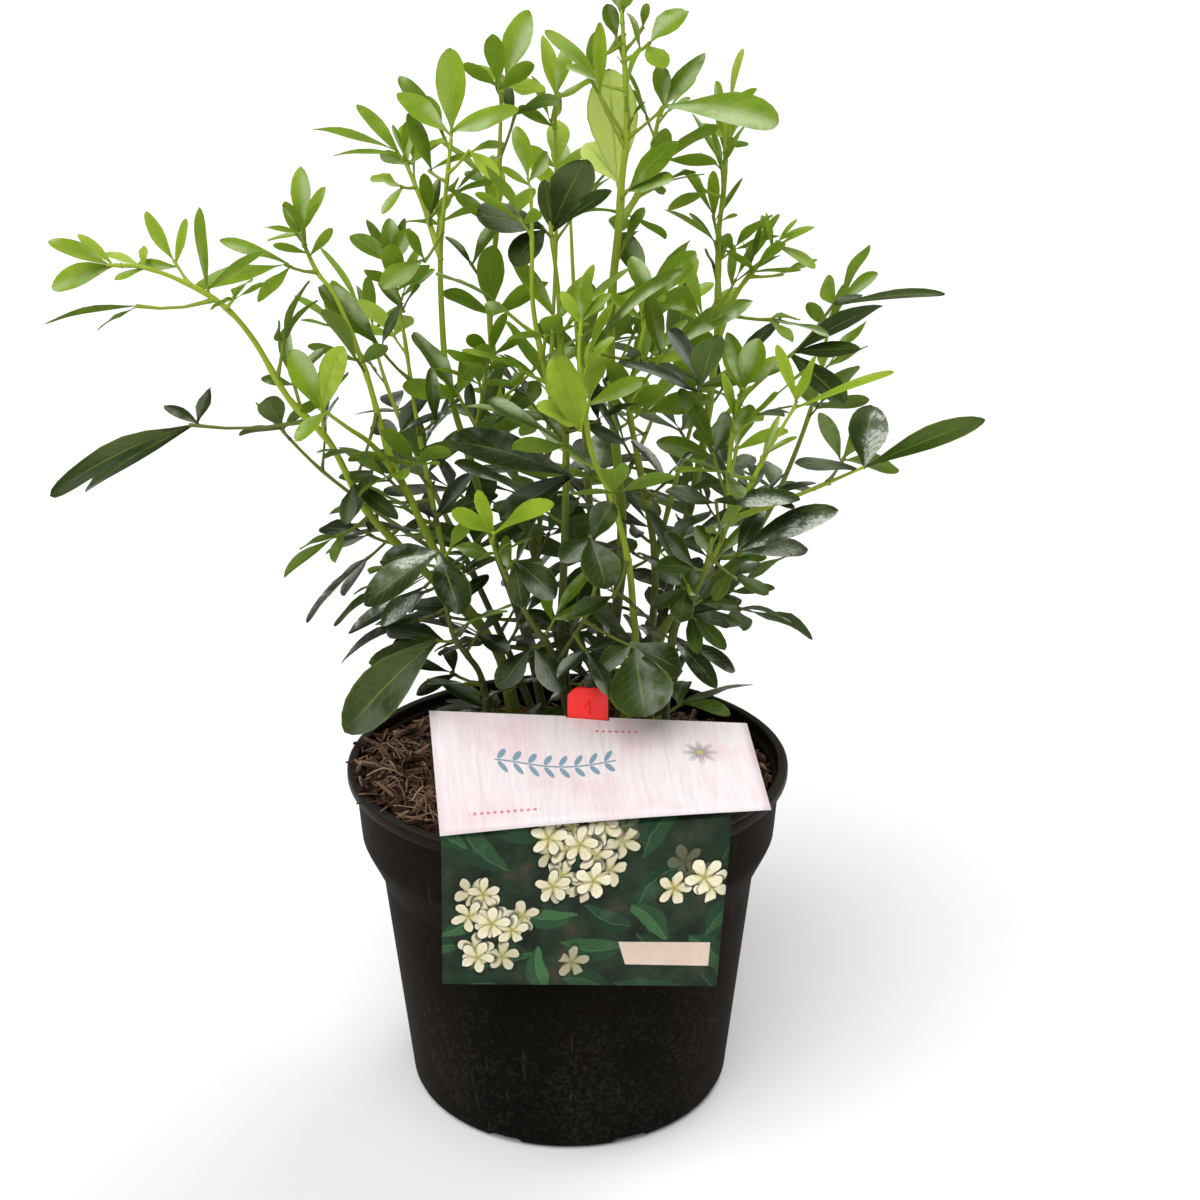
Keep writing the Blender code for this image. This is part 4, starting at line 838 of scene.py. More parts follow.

# A stem has its root on the compost, its thickness and its shoots: the first is the stem itself,
# and a later one starts on an earlier one. A shoot's path has places in the view with their depth,
# or points in space. Its pairs of leaves stand from `leafy` along it, at `pitch`, with leaflets about
# `size` long, and `tip` is the number of pairs in the young cluster on its end. A listed leaf has
# the place it grows from, the end of its stalk and how much deeper that is, and the tips of its
# leaflets with depth and width. It may have a look: its tone from 0, young, to 1, old, its film and
# sheen (a pale film that is partly a painted sheen, with painted glare on old leaves when near 1) and
# how slim it is, with tone and film and sheen for the leaf or for each leaflet. `more` has such leaves
# that are only in this scene. A stem's `tone` is added to its leaves by rule, `lime` to its skin, and
# `slim` narrows all its leaflets.
stems = {
    "stem_far_left": dict(root=(-19, 8), thick=2.5, lime=-0.3, shoots=[
        dict(leafy=0.86, pitch=15, size=21, tip=2,
             path=[(500, 655, 2), (455, 602, -4), (404, 551, -10), (364, 507, -16), (330, 443, -22),
                   (289, 399, -26), (255, 342, -28), (226, 308, -30), (190, 285, -32), (146, 268, -34),
                   (110, 265, -36)]),
    ], leaves=[
        ((122, 265), (108, 265, 0), [(46, 241, -4, 9), (72, 234, 5, 7), (43, 286, 6, 13)], dict(slim=0.85)),
        ((211, 300), (135, 306, -6), [(43, 324, -6, 9), (92, 330, 16, 7)],
         dict(tone=0.3, film=0.9, slim=0.42)),
        ((209, 297), (207, 285, 0), [(199, 205, 4, 10), (262, 247, 14, 10)], dict(tone=0.3, slim=0.5)),
        ((306, 426), (188, 425, -10), [(48, 496, -14, 15), (80, 491, 16, 20), (202, 388, 6, 8),
                                       (152, 406, 12, 6)],
         dict(tone=(0.9, 0.8, 0.8, 0.85), film=(0.2, 0, 0.6, 0.6))),
        ((364, 507), (372, 470, -10), [(352, 480, -20, 8), (345, 520, -6, 9)]),
    ]),
    "stem_left": dict(root=(-22, -7), thick=2.6, lime=-0.25, shoots=[
        dict(leafy=0.5, pitch=17, size=30, tip=3,
             path=[(500, 660, -12), (450, 580, -12), (404, 486, -8), (387, 448, -4), (366, 373, 0),
                   (337, 300, 4), (317, 272, 6), (302, 240, 8)]),
        dict(leafy=0.9, pitch=14, size=24, tip=1,
             path=[(404, 486, -8), (373, 446, -24), (348, 428, -34), (323, 410, -42)]),
        dict(leafy=0.3, pitch=19, size=34, tip=3,
             path=[(450, 580, -12), (432, 500, 6), (417, 421, 14), (405, 341, 20), (394, 275, 24)]),
    ], leaves=[
        ((317, 272), (284, 264, -6), [(190, 288, -10, 13), (215, 240, 8, 10), (250, 300, -14, 9)],
         dict(tone=0.3, slim=0.68)),
        ((302, 240), (303, 226, 2), [(300, 165, 6, 12), (326, 182, -6, 10), (268, 232, 10, 8)],
         dict(film=0.8, slim=0.66)),
        ((323, 410), (318, 408, 0), [(287, 350, 0, 16), (338, 344, -6, 15), (287, 438, -10, 11)],
         dict(tone=0.07, slim=0.78)),
        ((411, 385), (378, 346, -8), [(317, 286, -4, 15), (400, 300, -12, 9)],
         dict(tone=0.45, film=0.7, slim=0.92)),
        ((394, 275), (392, 262, 0), [(350, 234, 8, 10), (410, 224, -6, 12), (388, 210, 6, 9)],
         dict(tone=0.3, film=0.8)),
        ((376, 410), (352, 488, -20), [(345, 526, -8, 9), (396, 524, -12, 9)]),
    ], more=[
        ((304, 244), (300, 232, -4), [(282, 204, -4, 6), (264, 226, 6, 6), (318, 200, 6, 5)],
         dict(tone=0.2)),
        ((396, 280), (390, 262, 6), [(366, 218, 8, 5), (404, 214, 4, 5)], dict(tone=0.55)),
        ((400, 300), (404, 312, -8), [(378, 284, -4, 9), (422, 288, -8, 9)], dict(tone=0.3)),
        ((420, 440), (436, 420, -10), [(432, 366, -4, 7), (462, 398, -10, 8)], dict(tone=0.6)),
    ]),
    "stem_mid_left": dict(root=(-9, 17), thick=2.6, shoots=[
        dict(leafy=0.36, pitch=21, size=39, tip=2,
             path=[(530, 650, 20), (500, 560, 26), (470, 460, 30), (448, 383, 30), (441, 298, 30),
                   (441, 240, 30), (446, 190, 26), (451, 140, 24)]),
        dict(leafy=0.4, pitch=15, size=29, tip=2,
             path=[(441, 260, 30), (430, 225, 38), (416, 187, 42), (404, 160, 46)]),
        dict(leafy=0.4, pitch=18, size=34, tip=2, path=[(470, 460, 30), (480, 410, 10), (487, 365, 0)]),
    ], leaves=[
        ((451, 144), (452, 128, 0), [(451, 46, 6, 14), (520, 106, -8, 14), (398, 84, 8, 11)]),
        ((448, 170), (470, 150, -8), [(500, 180, -10, 10), (508, 140, 10, 8)], dict(slim=0.7)),
        ((404, 160), (396, 150, 0), [(312, 128, 4, 10), (330, 152, -8, 8), (352, 98, 14, 10)],
         dict(tone=0.3, slim=0.62)),
        ((416, 187), (400, 186, -6), [(369, 178, -4, 12), (378, 214, -10, 8)], dict(slim=0.7)),
        ((446, 230), (424, 262, -18), [(404, 230, -4, 8), (380, 292, -10, 12)]),
    ], more=[
        ((430, 225), (430, 214, -2), [(424, 172, -2, 8), (440, 176, 6, 8)], dict(tone=0.45)),
        ((404, 160), (404, 152, 0), [(407, 120, 0, 5), (392, 122, 4, 4)], dict(tone=0.3)),
        ((447, 180), (428, 170, 4), [(476, 154, -4, 5), (404, 112, 8, 8)], dict(tone=0.3)),
        ((451, 146), (440, 128, 6), [(398, 76, 10, 8), (424, 92, 14, 7)], dict(tone=0.35)),
    ]),
    "stem_centre_back": dict(root=(3, 26), thick=2.4, shoots=[
        dict(leafy=0.4, pitch=23, size=37, tip=2,
             path=[(560, 650, 34), (536, 560, 46), (508, 440, 54), (490, 326, 58), (494, 259, 60),
                   (499, 199, 60), (500, 138, 58), (502, 92, 56)]),
        dict(leafy=0.45, pitch=24, size=37, tip=3,
             path=[(536, 560, 46), (548, 440, 62), (552, 340, 68), (556, 240, 70), (555, 106, 70)]),
    ], leaves=[
        ((502, 92), (506, 78, 0), [(529, 8, 4, 15), (470, 62, 8, 9), (548, 84, -8, 12)], dict(slim=0.85)),
        ((499, 150), (516, 112, -6), [(562, 98, 6, 10), (500, 70, 10, 8)]),
        ((489, 291), (470, 262, -14), [(444, 236, -4, 11), (498, 214, 6, 9)], dict(slim=0.7)),
        ((555, 120), (556, 92, 4), [(572, 42, 6, 11), (543, 30, 10, 10), (600, 70, -4, 9)],
         dict(slim=0.72)),
    ]),
    "stem_centre": dict(root=(5, 6), thick=2.6, shoots=[
        dict(leafy=0.34, pitch=21, size=38, tip=2,
             path=[(562, 650, 0), (564, 560, -4), (566, 450, -8), (561, 346, -10), (558, 290, -12),
                   (550, 225, -14)]),
        dict(leafy=0.5, pitch=17, size=29, tip=2,
             path=[(566, 450, -8), (545, 370, -22), (533, 306, -28), (532, 245, -30), (531, 190, -30)]),
    ], leaves=[
        ((551, 230), (541, 226, 0), [(475, 214, -10, 15), (508, 262, -14, 10)],
         dict(tone=0.93, film=0.05, slim=1.25)),
        ((552, 240), (553, 226, 4), [(587, 158, 6, 19), (612, 186, -8, 11), (545, 172, 12, 9)],
         dict(tone=0.93, film=0.05)),
        ((561, 350), (556, 320, -6), [(512, 258, 0, 13), (592, 268, 8, 12)], dict(tone=0.12, slim=0.6)),
        ((566, 470), (572, 478, -30), [(450, 441, -14, 21), (500, 520, -22, 15)], dict(tone=0.92)),
    ], more=[
        ((564, 430), (600, 420, -14), [(588, 372, -10, 9), (640, 404, -16, 8)], dict(tone=0.92, film=0.3)),
        ((560, 330), (572, 318, -6), [(606, 290, -6, 7), (596, 262, 4, 6)], dict(tone=0.1)),
    ]),
    "stem_tall": dict(root=(13, 12), thick=3.2, shoots=[
        dict(leafy=0.3, pitch=26, size=44, tip=3,
             path=[(612, 650, 10), (622, 534, 10), (613, 412, 10), (611, 313, 8), (619, 224, 4),
                   (622, 180, 2), (627, 130, 0), (625, 70, -2), (622, 14, -4)]),
        dict(leafy=0.5, pitch=16, size=29, tip=2,
             path=[(619, 224, 4), (640, 190, 24), (652, 150, 34), (660, 110, 38)]),
    ], leaves=[
        ((622, 196), (617, 180, 8), [(608, 68, 10, 18), (585, 140, 16, 11)],
         dict(tone=-0.5, film=0, slim=1.15)),
        ((627, 139), (668, 104, -10), [(780, 122, -12, 20), (664, 62, 10, 10), (711, 48, 12, 11)],
         dict(tone=0.3, film=0.95)),
        ((626, 60), (651, 42, -6), [(690, 10, 0, 13), (668, 66, -10, 9)], dict(tone=0.18, slim=1.25)),
        ((625, 84), (596, 82, 4), [(543, 31, 4, 11), (560, 66, -10, 9)], dict(tone=0.15, slim=0.9)),
        ((622, 20), (622, 8, 0), [(600, -30, 4, 11), (640, -26, -6, 10), (618, -44, 2, 10)],
         dict(tone=0.25, film=0.9)),
        ((621, 204), (628, 190, -10), [(680, 141, -4, 15), (675, 176, -12, 11)],
         dict(tone=0.25, film=0.85, slim=0.9)),
        ((612, 400), (604, 380, -20), [(586, 352, -6, 10), (640, 352, -10, 10)]),
    ], more=[
        ((625, 62), (616, 36, 2), [(606, 2, 2, 9)], dict(tone=0.3, film=0.95)),
        ((626, 66), (641, 48, -4), [(628, 12, -4, 7)], dict(tone=0.2)),
        ((640, 50), (644, 26, 4), [(648, 2, 4, 5)], dict(tone=0.3, film=0.9)),
        ((626, 112), (626, 94, -10), [(641, 48, -8, 8)], dict(tone=0.12)),
        ((626, 132), (632, 118, -4), [(646, 100, -4, 4)], dict(tone=0.5)),
        ((624, 150), (599, 94, -8), [(599, 20, -4, 6)], dict(tone=0.15)),
        ((624, 140), (590, 78, 6), [(596, 30, 8, 7)], dict(tone=0.35)),
        ((625, 40), (605, 54, 4), [(625, 34, 2, 4)], dict(tone=0.3)),
        ((620, 260), (626, 240, 8), [(645, 206, 4, 7), (640, 228, 12, 5)], dict(tone=0.35, film=0.8)),
        ((615, 300), (645, 282, 6), [(622, 232, 6, 12)], dict(tone=0.5, film=0.95)),
    ]),
    "stem_bright": dict(root=(20, -16), thick=2.2, lime=-0.6, shoots=[
        dict(leafy=0.62, pitch=19, size=33, tip=2,
             path=[(634, 655, -24), (633, 610, -30), (628, 560, -36), (612, 500, -44), (592, 454, -50),
                   (584, 404, -52), (579, 362, -52), (581, 322, -52)]),
    ], leaves=[
        ((584, 404), (580, 432, -6), [(553, 358, -4, 19), (536, 410, -8, 12)], dict(tone=0.12, film=0)),
        ((581, 330), (582, 316, 0), [(590, 272, 0, 10), (612, 288, -4, 10), (562, 282, 6, 8)],
         dict(tone=0.08, slim=0.8)),
        ((628, 560), (612, 598, -14), [(572, 618, -6, 10), (590, 566, -10, 11)]),
    ]),
    "stem_right_upright": dict(root=(31, 5), thick=2.4, shoots=[
        dict(leafy=0.3, pitch=22, size=38, tip=2,
             path=[(650, 650, 0), (655, 560, -6), (640, 470, -14), (629, 404, -18), (637, 360, -20),
                   (650, 306, -22)]),
        dict(leafy=0.3, pitch=20, size=37, tip=1,
             path=[(655, 560, -6), (676, 480, -2), (690, 430, 0), (699, 387, 0)]),
    ], leaves=[
        ((650, 310), (654, 298, -2), [(697, 250, -4, 14), (632, 252, 6, 10), (690, 300, -10, 9)],
         dict(tone=0.3, film=0.8, slim=0.8)),
        ((699, 390), (699, 380, -2), [(617, 362, -4, 13), (704, 324, 8, 15), (784, 361, -8, 12)],
         dict(tone=0.5)),
        ((699, 392), (703, 396, -8), [(703, 430, -8, 10), (664, 420, -6, 9)], dict(tone=0.85)),
        ((631, 392), (664, 354, -10), [(754, 300, -6, 12), (650, 290, 4, 9)], dict(tone=0.4, film=0.8)),
    ], more=[
        ((660, 500), (668, 480, -16), [(632, 440, -10, 11), (694, 452, -18, 9)], dict(tone=0.9, film=0.97)),
        ((699, 396), (700, 392, -12), [(668, 330, -6, 14), (716, 336, -14, 15), (626, 362, -10, 10)],
         dict(tone=0.95, film=0.75)),
        ((640, 360), (590, 350, -10), [(682, 268, -20, 8)], dict(tone=0.35, film=0.95)),
    ]),
    "stem_right": dict(root=(33, -11), thick=2.6, lime=-0.3, tone=-0.15, shoots=[
        dict(leafy=0.45, pitch=18, size=32, tip=0,
             path=[(660, 640, -14), (684, 606, -18), (703, 576, -22), (717, 550, -24), (731, 519, -26)]),
        dict(leafy=0.3, pitch=16, size=29, tip=2,
             path=[(731, 519, -26), (729, 470, -28), (733, 430, -30), (740, 396, -32)]),
        dict(leafy=0.4, pitch=16, size=27, tip=1,
             path=[(731, 519, -26), (745, 496, -34), (764, 458, -40), (794, 408, -46)]),
        dict(leafy=1.1, pitch=20, size=24, tip=0,
             path=[(731, 519, -26), (772, 505, -24), (820, 486, -22), (864, 467, -20)]),
    ], leaves=[
        ((794, 408), (797, 400, 0), [(777, 343, 6, 10), (818, 352, -4, 9), (897, 364, 0, 9)],
         dict(tone=0.1, film=0, slim=0.52)),
        ((864, 467), (866, 466, 0), [(872, 404, 10, 19), (990, 417, -8, 14), (802, 459, -10, 8)],
         dict(tone=(0.75, 0.64, 0.85), film=(0.98, 0.12, 0.5), slim=0.85)),
        ((703, 582), (743, 549, -8), [(840, 510, -8, 16), (812, 547, 8, 13), (770, 500, 12, 10)],
         dict(tone=0.85, film=0.95, slim=0.85)),
        ((722, 540), (716, 500, -10), [(800, 499, -8, 13), (664, 488, -6, 10)],
         dict(tone=0.75, film=0.97, slim=0.85)),
        ((740, 400), (742, 386, 0), [(779, 356, -4, 11), (726, 340, 6, 9)]),
    ], more=[
        ((740, 398), (744, 388, -2), [(760, 338, -2, 12), (728, 330, 6, 8)], dict(tone=0.3)),
        ((733, 430), (734, 420, -4), [(722, 372, -4, 5), (752, 384, -8, 5), (744, 404, -10, 4)],
         dict(tone=0.12)),
        ((760, 464), (762, 456, -4), [(798, 436, -6, 4), (780, 412, 4, 4)], dict(tone=0.1)),
    ]),
    "stem_back_right": dict(root=(27, 24), thick=2.8, slim=0.75, shoots=[
        dict(leafy=0.34, pitch=22, size=37, tip=3,
             path=[(655, 640, 32), (682, 540, 42), (704, 440, 46), (716, 346, 48), (718, 290, 48),
                   (719, 230, 48), (725, 180, 46), (725, 122, 44)]),
        dict(leafy=0.3, pitch=16, size=28, tip=2,
             path=[(716, 346, 48), (733, 300, 44), (752, 272, 40), (772, 249, 38)]),
        dict(leafy=0.4, pitch=20, size=33, tip=0,
             path=[(704, 440, 46), (740, 400, 58), (770, 372, 64), (795, 352, 66)]),
    ], leaves=[
        ((725, 200), (704, 190, -4), [(682, 168, 0, 9), (664, 208, -10, 9)], dict(slim=0.8)),
        ((725, 150), (732, 136, 0), [(748, 96, 4, 9), (700, 120, 8, 9), (752, 138, -8, 8)], dict(tone=0.2)),
        ((772, 249), (778, 240, 0), [(816, 226, 0, 8), (818, 264, -8, 11), (766, 208, 6, 9)],
         dict(tone=0.1, slim=0.8)),
        ((795, 352), (797, 350, 0), [(884, 305, 2, 15), (864, 346, -10, 10), (850, 398, -12, 15)],
         dict(tone=0.9, film=0.1, slim=1.3)),
        ((775, 368), (834, 304, 16), [(946, 293, 4, 11), (864, 292, 14, 9)], dict(tone=0.9, film=0.1)),
        ((718, 300), (700, 322, -16), [(662, 346, -6, 11), (676, 290, 4, 10)]),
    ], more=[
        ((719, 196), (722, 164, -2), [(692, 112, 0, 6), (745, 122, -6, 8), (700, 146, -8, 7),
                                      (712, 120, 4, 6)],
         dict(tone=0.22, film=0.7)),
        ((718, 236), (713, 214, -2), [(681, 168, -6, 5), (712, 166, 4, 8), (741, 170, 0, 4),
                                      (735, 204, -8, 5)],
         dict(tone=0.3)),
        ((717, 262), (715, 240, -2), [(664, 208, -4, 5), (688, 208, 4, 5), (726, 226, -8, 6)],
         dict(tone=0.3)),
        ((716, 290), (715, 270, -2), [(728, 236, -2, 6), (704, 244, -6, 6)], dict(tone=0.35)),
        ((752, 272), (750, 266, 0), [(761, 224, 4, 5), (742, 240, -4, 4)], dict(tone=0.4)),
        ((766, 256), (776, 246, 0), [(798, 218, 2, 4), (815, 226, -4, 5), (770, 208, 4, 4)],
         dict(tone=0.02)),
        ((748, 276), (784, 274, -4), [(820, 260, -4, 8)], dict(tone=0.1, film=0.8)),
        ((722, 168), (724, 152, 0), [(734, 110, 2, 6), (716, 104, -4, 5)], dict(tone=0.2)),
    ]),
    "stem_low_right": dict(root=(40, -24), thick=2.2, shoots=[
        dict(leafy=0.3, pitch=16, size=29, tip=1,
             path=[(672, 640, -34), (692, 600, -44), (705, 570, -50), (712, 540, -56)]),
    ], leaves=[
        ((705, 570), (693, 568, -6), [(663, 532, 0, 11), (652, 566, -10, 9)]),
        ((692, 600), (684, 588, -8), [(680, 622, -8, 13), (650, 606, -8, 9)]),
        ((710, 556), (738, 580, -6), [(770, 596, -6, 9), (764, 566, 8, 8), (720, 606, -10, 8)]),
        ((686, 612), (694, 620, -4), [(726, 652, -10, 11), (733, 628, 8, 9), (702, 660, -14, 9)]),
        ((676, 630), (672, 640, 8), [(735, 672, 6, 10), (716, 690, -14, 10)]),
    ]),
    "stem_low_left": dict(root=(-31, -22), thick=2.0, shoots=[
        dict(leafy=0.6, pitch=15, size=27, tip=1,
             path=[(483, 684, -28), (468, 656, -36), (454, 636, -42), (444, 596, -46), (440, 553, -48)]),
    ], leaves=[
        ((440, 553), (436, 552, -2), [(363, 605, -8, 17), (456, 614, -16, 17), (376, 560, 10, 14)],
         dict(tone=0.8, film=0.98)),
        ((442, 570), (424, 588, 6), [(380, 627, -4, 11), (346, 636, 12, 8)], dict(tone=0.9, slim=0.9)),
        ((440, 556), (452, 546, 6), [(490, 556, -6, 12), (470, 520, 8, 11)], dict(tone=0.35, slim=0.7)),
        ((456, 638), (436, 640, -6), [(344, 733, -14, 26), (366, 665, 10, 16), (380, 630, 22, 13)],
         dict(tone=0.95, film=0.3)),
        ((466, 654), (480, 630, 4), [(504, 613, -6, 12), (512, 648, -12, 11)]),
    ]),
    "stem_front": dict(root=(6, -24), thick=2.2, shoots=[
        dict(leafy=0.6, pitch=16, size=27, tip=1,
             path=[(556, 664, -34), (530, 620, -44), (504, 572, -52), (490, 536, -58)]),
        dict(leafy=0.5, pitch=18, size=32, tip=1,
             path=[(556, 664, -34), (584, 620, -50), (596, 580, -58), (592, 540, -64)]),
    ], leaves=[
        ((584, 626), (636, 648, -8), [(646, 718, -8, 29), (604, 672, -2, 14), (690, 676, 4, 17)],
         dict(tone=0.74, film=0.72)),
        ((490, 540), (494, 532, 0), [(554, 502, -6, 13), (452, 508, 4, 13), (478, 486, 8, 10)],
         dict(tone=0.18, slim=0.7)),
        ((504, 572), (516, 560, -8), [(556, 598, -8, 14), (524, 606, -10, 12)]),
        ((592, 546), (590, 536, 0), [(606, 588, -14, 17), (560, 560, -10, 14), (612, 498, 6, 15)],
         dict(tone=0.88, film=0.6)),
        ((545, 645), (530, 648, -4), [(498, 690, -6, 14), (556, 692, -8, 13), (510, 640, 8, 11)]),
    ]),
    "stem_back_left": dict(root=(-14, 33), thick=2.5, shoots=[
        dict(leafy=0.2, pitch=23, size=44, tip=2,
             points=[(-26, 46, 178), (-44, 66, 212), (-64, 92, 246), (-84, 116, 282), (-96, 132, 318)]),
        dict(leafy=0.3, pitch=22, size=41, tip=2,
             points=[(-44, 66, 212), (-78, 74, 232), (-112, 76, 258), (-138, 70, 290)]),
    ]),
    "stem_back": dict(root=(16, 40), thick=2.7, shoots=[
        dict(leafy=0.2, pitch=24, size=44, tip=3,
             points=[(14, 56, 186), (10, 78, 230), (6, 100, 280), (2, 118, 330), (0, 128, 372)]),
        dict(leafy=0.3, pitch=22, size=41, tip=2,
             points=[(10, 78, 230), (30, 110, 254), (44, 138, 282), (50, 158, 312)]),
    ]),
    "stem_back_far_right": dict(root=(38, 33), thick=2.5, shoots=[
        dict(leafy=0.2, pitch=23, size=43, tip=2,
             points=[(52, 46, 180), (74, 64, 212), (96, 84, 246), (112, 100, 284), (120, 112, 322)]),
        dict(leafy=0.3, pitch=21, size=39, tip=1,
             points=[(52, 46, 180), (64, 72, 200), (72, 100, 218), (74, 124, 240)]),
    ]),
}


def viewAxes():
    # where the view is taken from, the way it looks and the way up in it
    ahead = Vector((0, math.cos(view["tilt"]), -math.sin(view["tilt"])))
    upward = Vector((0, math.sin(view["tilt"]), math.cos(view["tilt"])))
    return view["aim"] - ahead * view["distance"], ahead, upward


def seen(across, down, depth):
    # the point at a depth that the view shows at a place in it
    eye, ahead, upward = viewAxes()
    ray = ahead + Vector((1, 0, 0)) * ((across - view["middle"]) / view["focus"])
    ray += upward * ((view["middle"] - down) / view["focus"])
    return eye + ray * ((depth - eye.y) / ray.y)


def inView(point):
    # where the view shows a point
    eye, ahead, upward = viewAxes()
    ray = point - eye
    scale = view["focus"] / ray.dot(ahead)
    return Vector((view["middle"] + ray.x * scale, view["middle"] - ray.dot(upward) * scale))


def lengthOf(path):
    return sum((far - near).length for near, far in zip(path, path[1:]))


def placeOn(path, distance):
    # the point at a distance along a path, and the way the path goes there
    for near, far in zip(path, path[1:]):
        step = (far - near).length
        if distance <= step or far is path[-1]:
            return near.lerp(far, min(1, distance / step)), (far - near).normalized()
        distance -= step


def roundRing(centre, along, radius, sides):
    side = along.cross(Vector((0.13, 0.97, 0.21))).normalized()
    other = along.cross(side)
    turns = [math.tau * i / sides for i in range(sides)]
    return [centre + radius * (math.cos(a) * side + math.sin(a) * other) for a in turns]


def tubeRings(path, thick, thin, sides):
    rings = []
    for i, point in enumerate(path):
        along = (path[min(i + 1, len(path) - 1)] - path[max(i - 1, 0)]).normalized()
        rings.append(roundRing(point, along, thick + (thin - thick) * i / (len(path) - 1), sides))
    return rings


def onBlade(leaflet, t):
    # the midrib's point at a share of the leaflet's length, and the way up from the blade there
    angle, reach = leaflet["bend"] * t, leaflet["length"] * t
    rib = leaflet["base"] + leaflet["along"] * (reach * math.sin(angle) / angle if angle else reach)
    rib -= leaflet["face"] * (reach * (1 - math.cos(angle)) / angle if angle else 0)
    return rib, leaflet["face"] * math.cos(angle) + leaflet["along"] * math.sin(angle)


def bladeRings(leaflet, swell):
    # the plain form that a leaflet has in the solids
    stations = (0.3, 0.6, 0.86) if leaflet["length"] > growth["largeLeaflet"] else (0.42, 0.79)
    side = leaflet["along"].cross(leaflet["face"])
    rings = [[leaflet["base"]]]
    for t in stations:
        rib, upright = onBlade(leaflet, t)
        out = leaflet["width"] / 2 * math.sin(math.pi * t**1.15) ** 0.85 + swell
        edge = side * (math.cos(leaflet["fold"]) * out)
        lift = upright * (math.sin(leaflet["fold"]) * out)
        skin = upright * (growth["bladeThick"] / 2 + swell)
        rings.append([rib - edge + lift, rib + skin, rib + edge + lift, rib - skin])
    return rings + [[onBlade(leaflet, 1)[0]]]


def leafShapes(leaf, swell=0):
    thick = growth["stalk"] + swell
    start, hub = leaf["stalk"]
    path = [start.lerp(hub, leaf.get("joined", 0)), hub]  # stalks may touch where they join the stem
    return [tubeRings(path, thick + 0.25, thick, 3)] + [bladeRings(l, swell) for l in leaf["leaflets"]]


class Thicket:
    # the plain forms placed so far, to keep the stems and leaves of one stem clear of the others

    def __init__(self):
        self.items = []

    def fromBmesh(self, bm):
        points = [vert.co for vert in bm.verts]
        box = [(min(p[i] for p in points), max(p[i] for p in points)) for i in range(3)]
        tree = BVHTree.FromBMesh(bm)
        bm.free()
        return tree, box

    def fromShapes(self, shapes):
        bm = bmesh.new()
        for rings in shapes:
            loops = [[bm.verts.new(point * mm) for point in ring] for ring in rings]
            for near, far in zip(loops, loops[1:]):
                count = max(len(near), len(far))
                for i in range(count):
                    j = (i + 1) % count
                    turns = ((near, i), (near, j), (far, j), (far, i))
                    corners = [ring[k % len(ring)] for ring, k in turns]
                    bm.faces.new(list(dict.fromkeys(corners)))
            for loop in (loops[0], loops[-1]):
                if len(loop) > 1:
                    bm.faces.new(loop)
        return self.fromBmesh(bm)

    def addNode(self, name):
        bm = bmesh.new()
        bm.from_mesh(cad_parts[name].data)
        self.items.append((name, *self.fromBmesh(bm)))

    def add(self, owner, shapes):
        self.items.append((owner, *self.fromShapes(shapes)))

    def hits(self, shapes, skip):
        tree, box = self.fromShapes(shapes)
        for owner, other, otherBox in self.items:
            apart = any(a[0] > b[1] or b[0] > a[1] for a, b in zip(box, otherBox))
            if owner != skip and not apart and tree.overlap(other):
                return True
        return False


def leafletAt(base, tip, width, up, bend, fold):
    # a leaflet from its base to its tip, with its upper face as near as it goes to a direction
    chord = tip - base
    start = chord.normalized()
    face = (up - start * up.dot(start)).normalized()
    along = (start * math.cos(bend / 2) + face * math.sin(bend / 2)).normalized()
    face = (face - along * face.dot(along)).normalized()
    reach = math.sin(bend / 2) / (bend / 2)
    return {"base": base, "along": along, "face": face, "length": chord.length / reach, "width": width,
            "bend": bend, "fold": fold}


def newLeaf(start, hub, leaflets, **more):
    # the leaflets' bases lie in the end of their stalk, one behind the other
    back = (start - hub).normalized()
    for i, leaflet in enumerate(leaflets):
        leaflet["base"] = hub + back * (growth["baseIn"] + growth["baseStep"] * i)
    return {"stalk": [start, hub], "leaflets": leaflets, **more}


def setLeaf(points, fromPlace, hubPlace, tips, look, shift, rng):
    # a listed leaf, moved in depth by shift
    start = min(points, key=lambda p: (p - seen(*fromPlace, p.y)).length)
    depth = start.y + hubPlace[2] + shift
    hub = seen(*hubPlace[:2], depth)
    up = Vector((0, -0.55, 0.85)).normalized()
    leaflets = []
    for across, down, deeper, width in tips:
        tip = seen(across, down, depth + deeper + shift * growth["tipShare"])
        bend, fold = rng.uniform(*growth["bend"]), rng.uniform(*growth["fold"])
        leaflets.append(leafletAt(hub, tip, width, up, bend, fold))
    plain = {"tone": None, "film": None, "slim": 0.9, "age": 0.7}
    return newLeaf(start, hub, leaflets, **{**plain, **look})


def grownLeaf(start, stemWay, way, size, age, rng):
    # a leaf by rule: a stalk, a longer middle leaflet and one at each side, faces to the shoot's tip
    stalk = size * rng.uniform(*growth["stalkShare"]) * (0.5 + 0.5 * age)
    hub = start + way * stalk
    up = (stemWay * 0.7 + Vector((0, 0, 0.6))).normalized()
    face = (up - way * up.dot(way)).normalized()
    leaflets = []
    for turn, share in ((0, 1), (-1, growth["sideLeaflet"]), (1, growth["sideLeaflet"])):
        angle = turn * math.radians(rng.uniform(*growth["sideAngle"]))
        out = Matrix.Rotation(angle, 3, face) @ way
        length = size * share * rng.uniform(*growth["lengthShare"])
        tip = hub + (out - face * growth["droop"] * age).normalized() * length
        width = length * rng.uniform(*growth["widthShare"])
        bend = 0.15 + 0.4 * age * rng.random()
        leaflets.append(leafletAt(hub, tip, width, face, bend, 0.16 + 0.2 * rng.random()))
    return newLeaf(start, hub, leaflets, tone=None, film=None, slim=1, age=age)


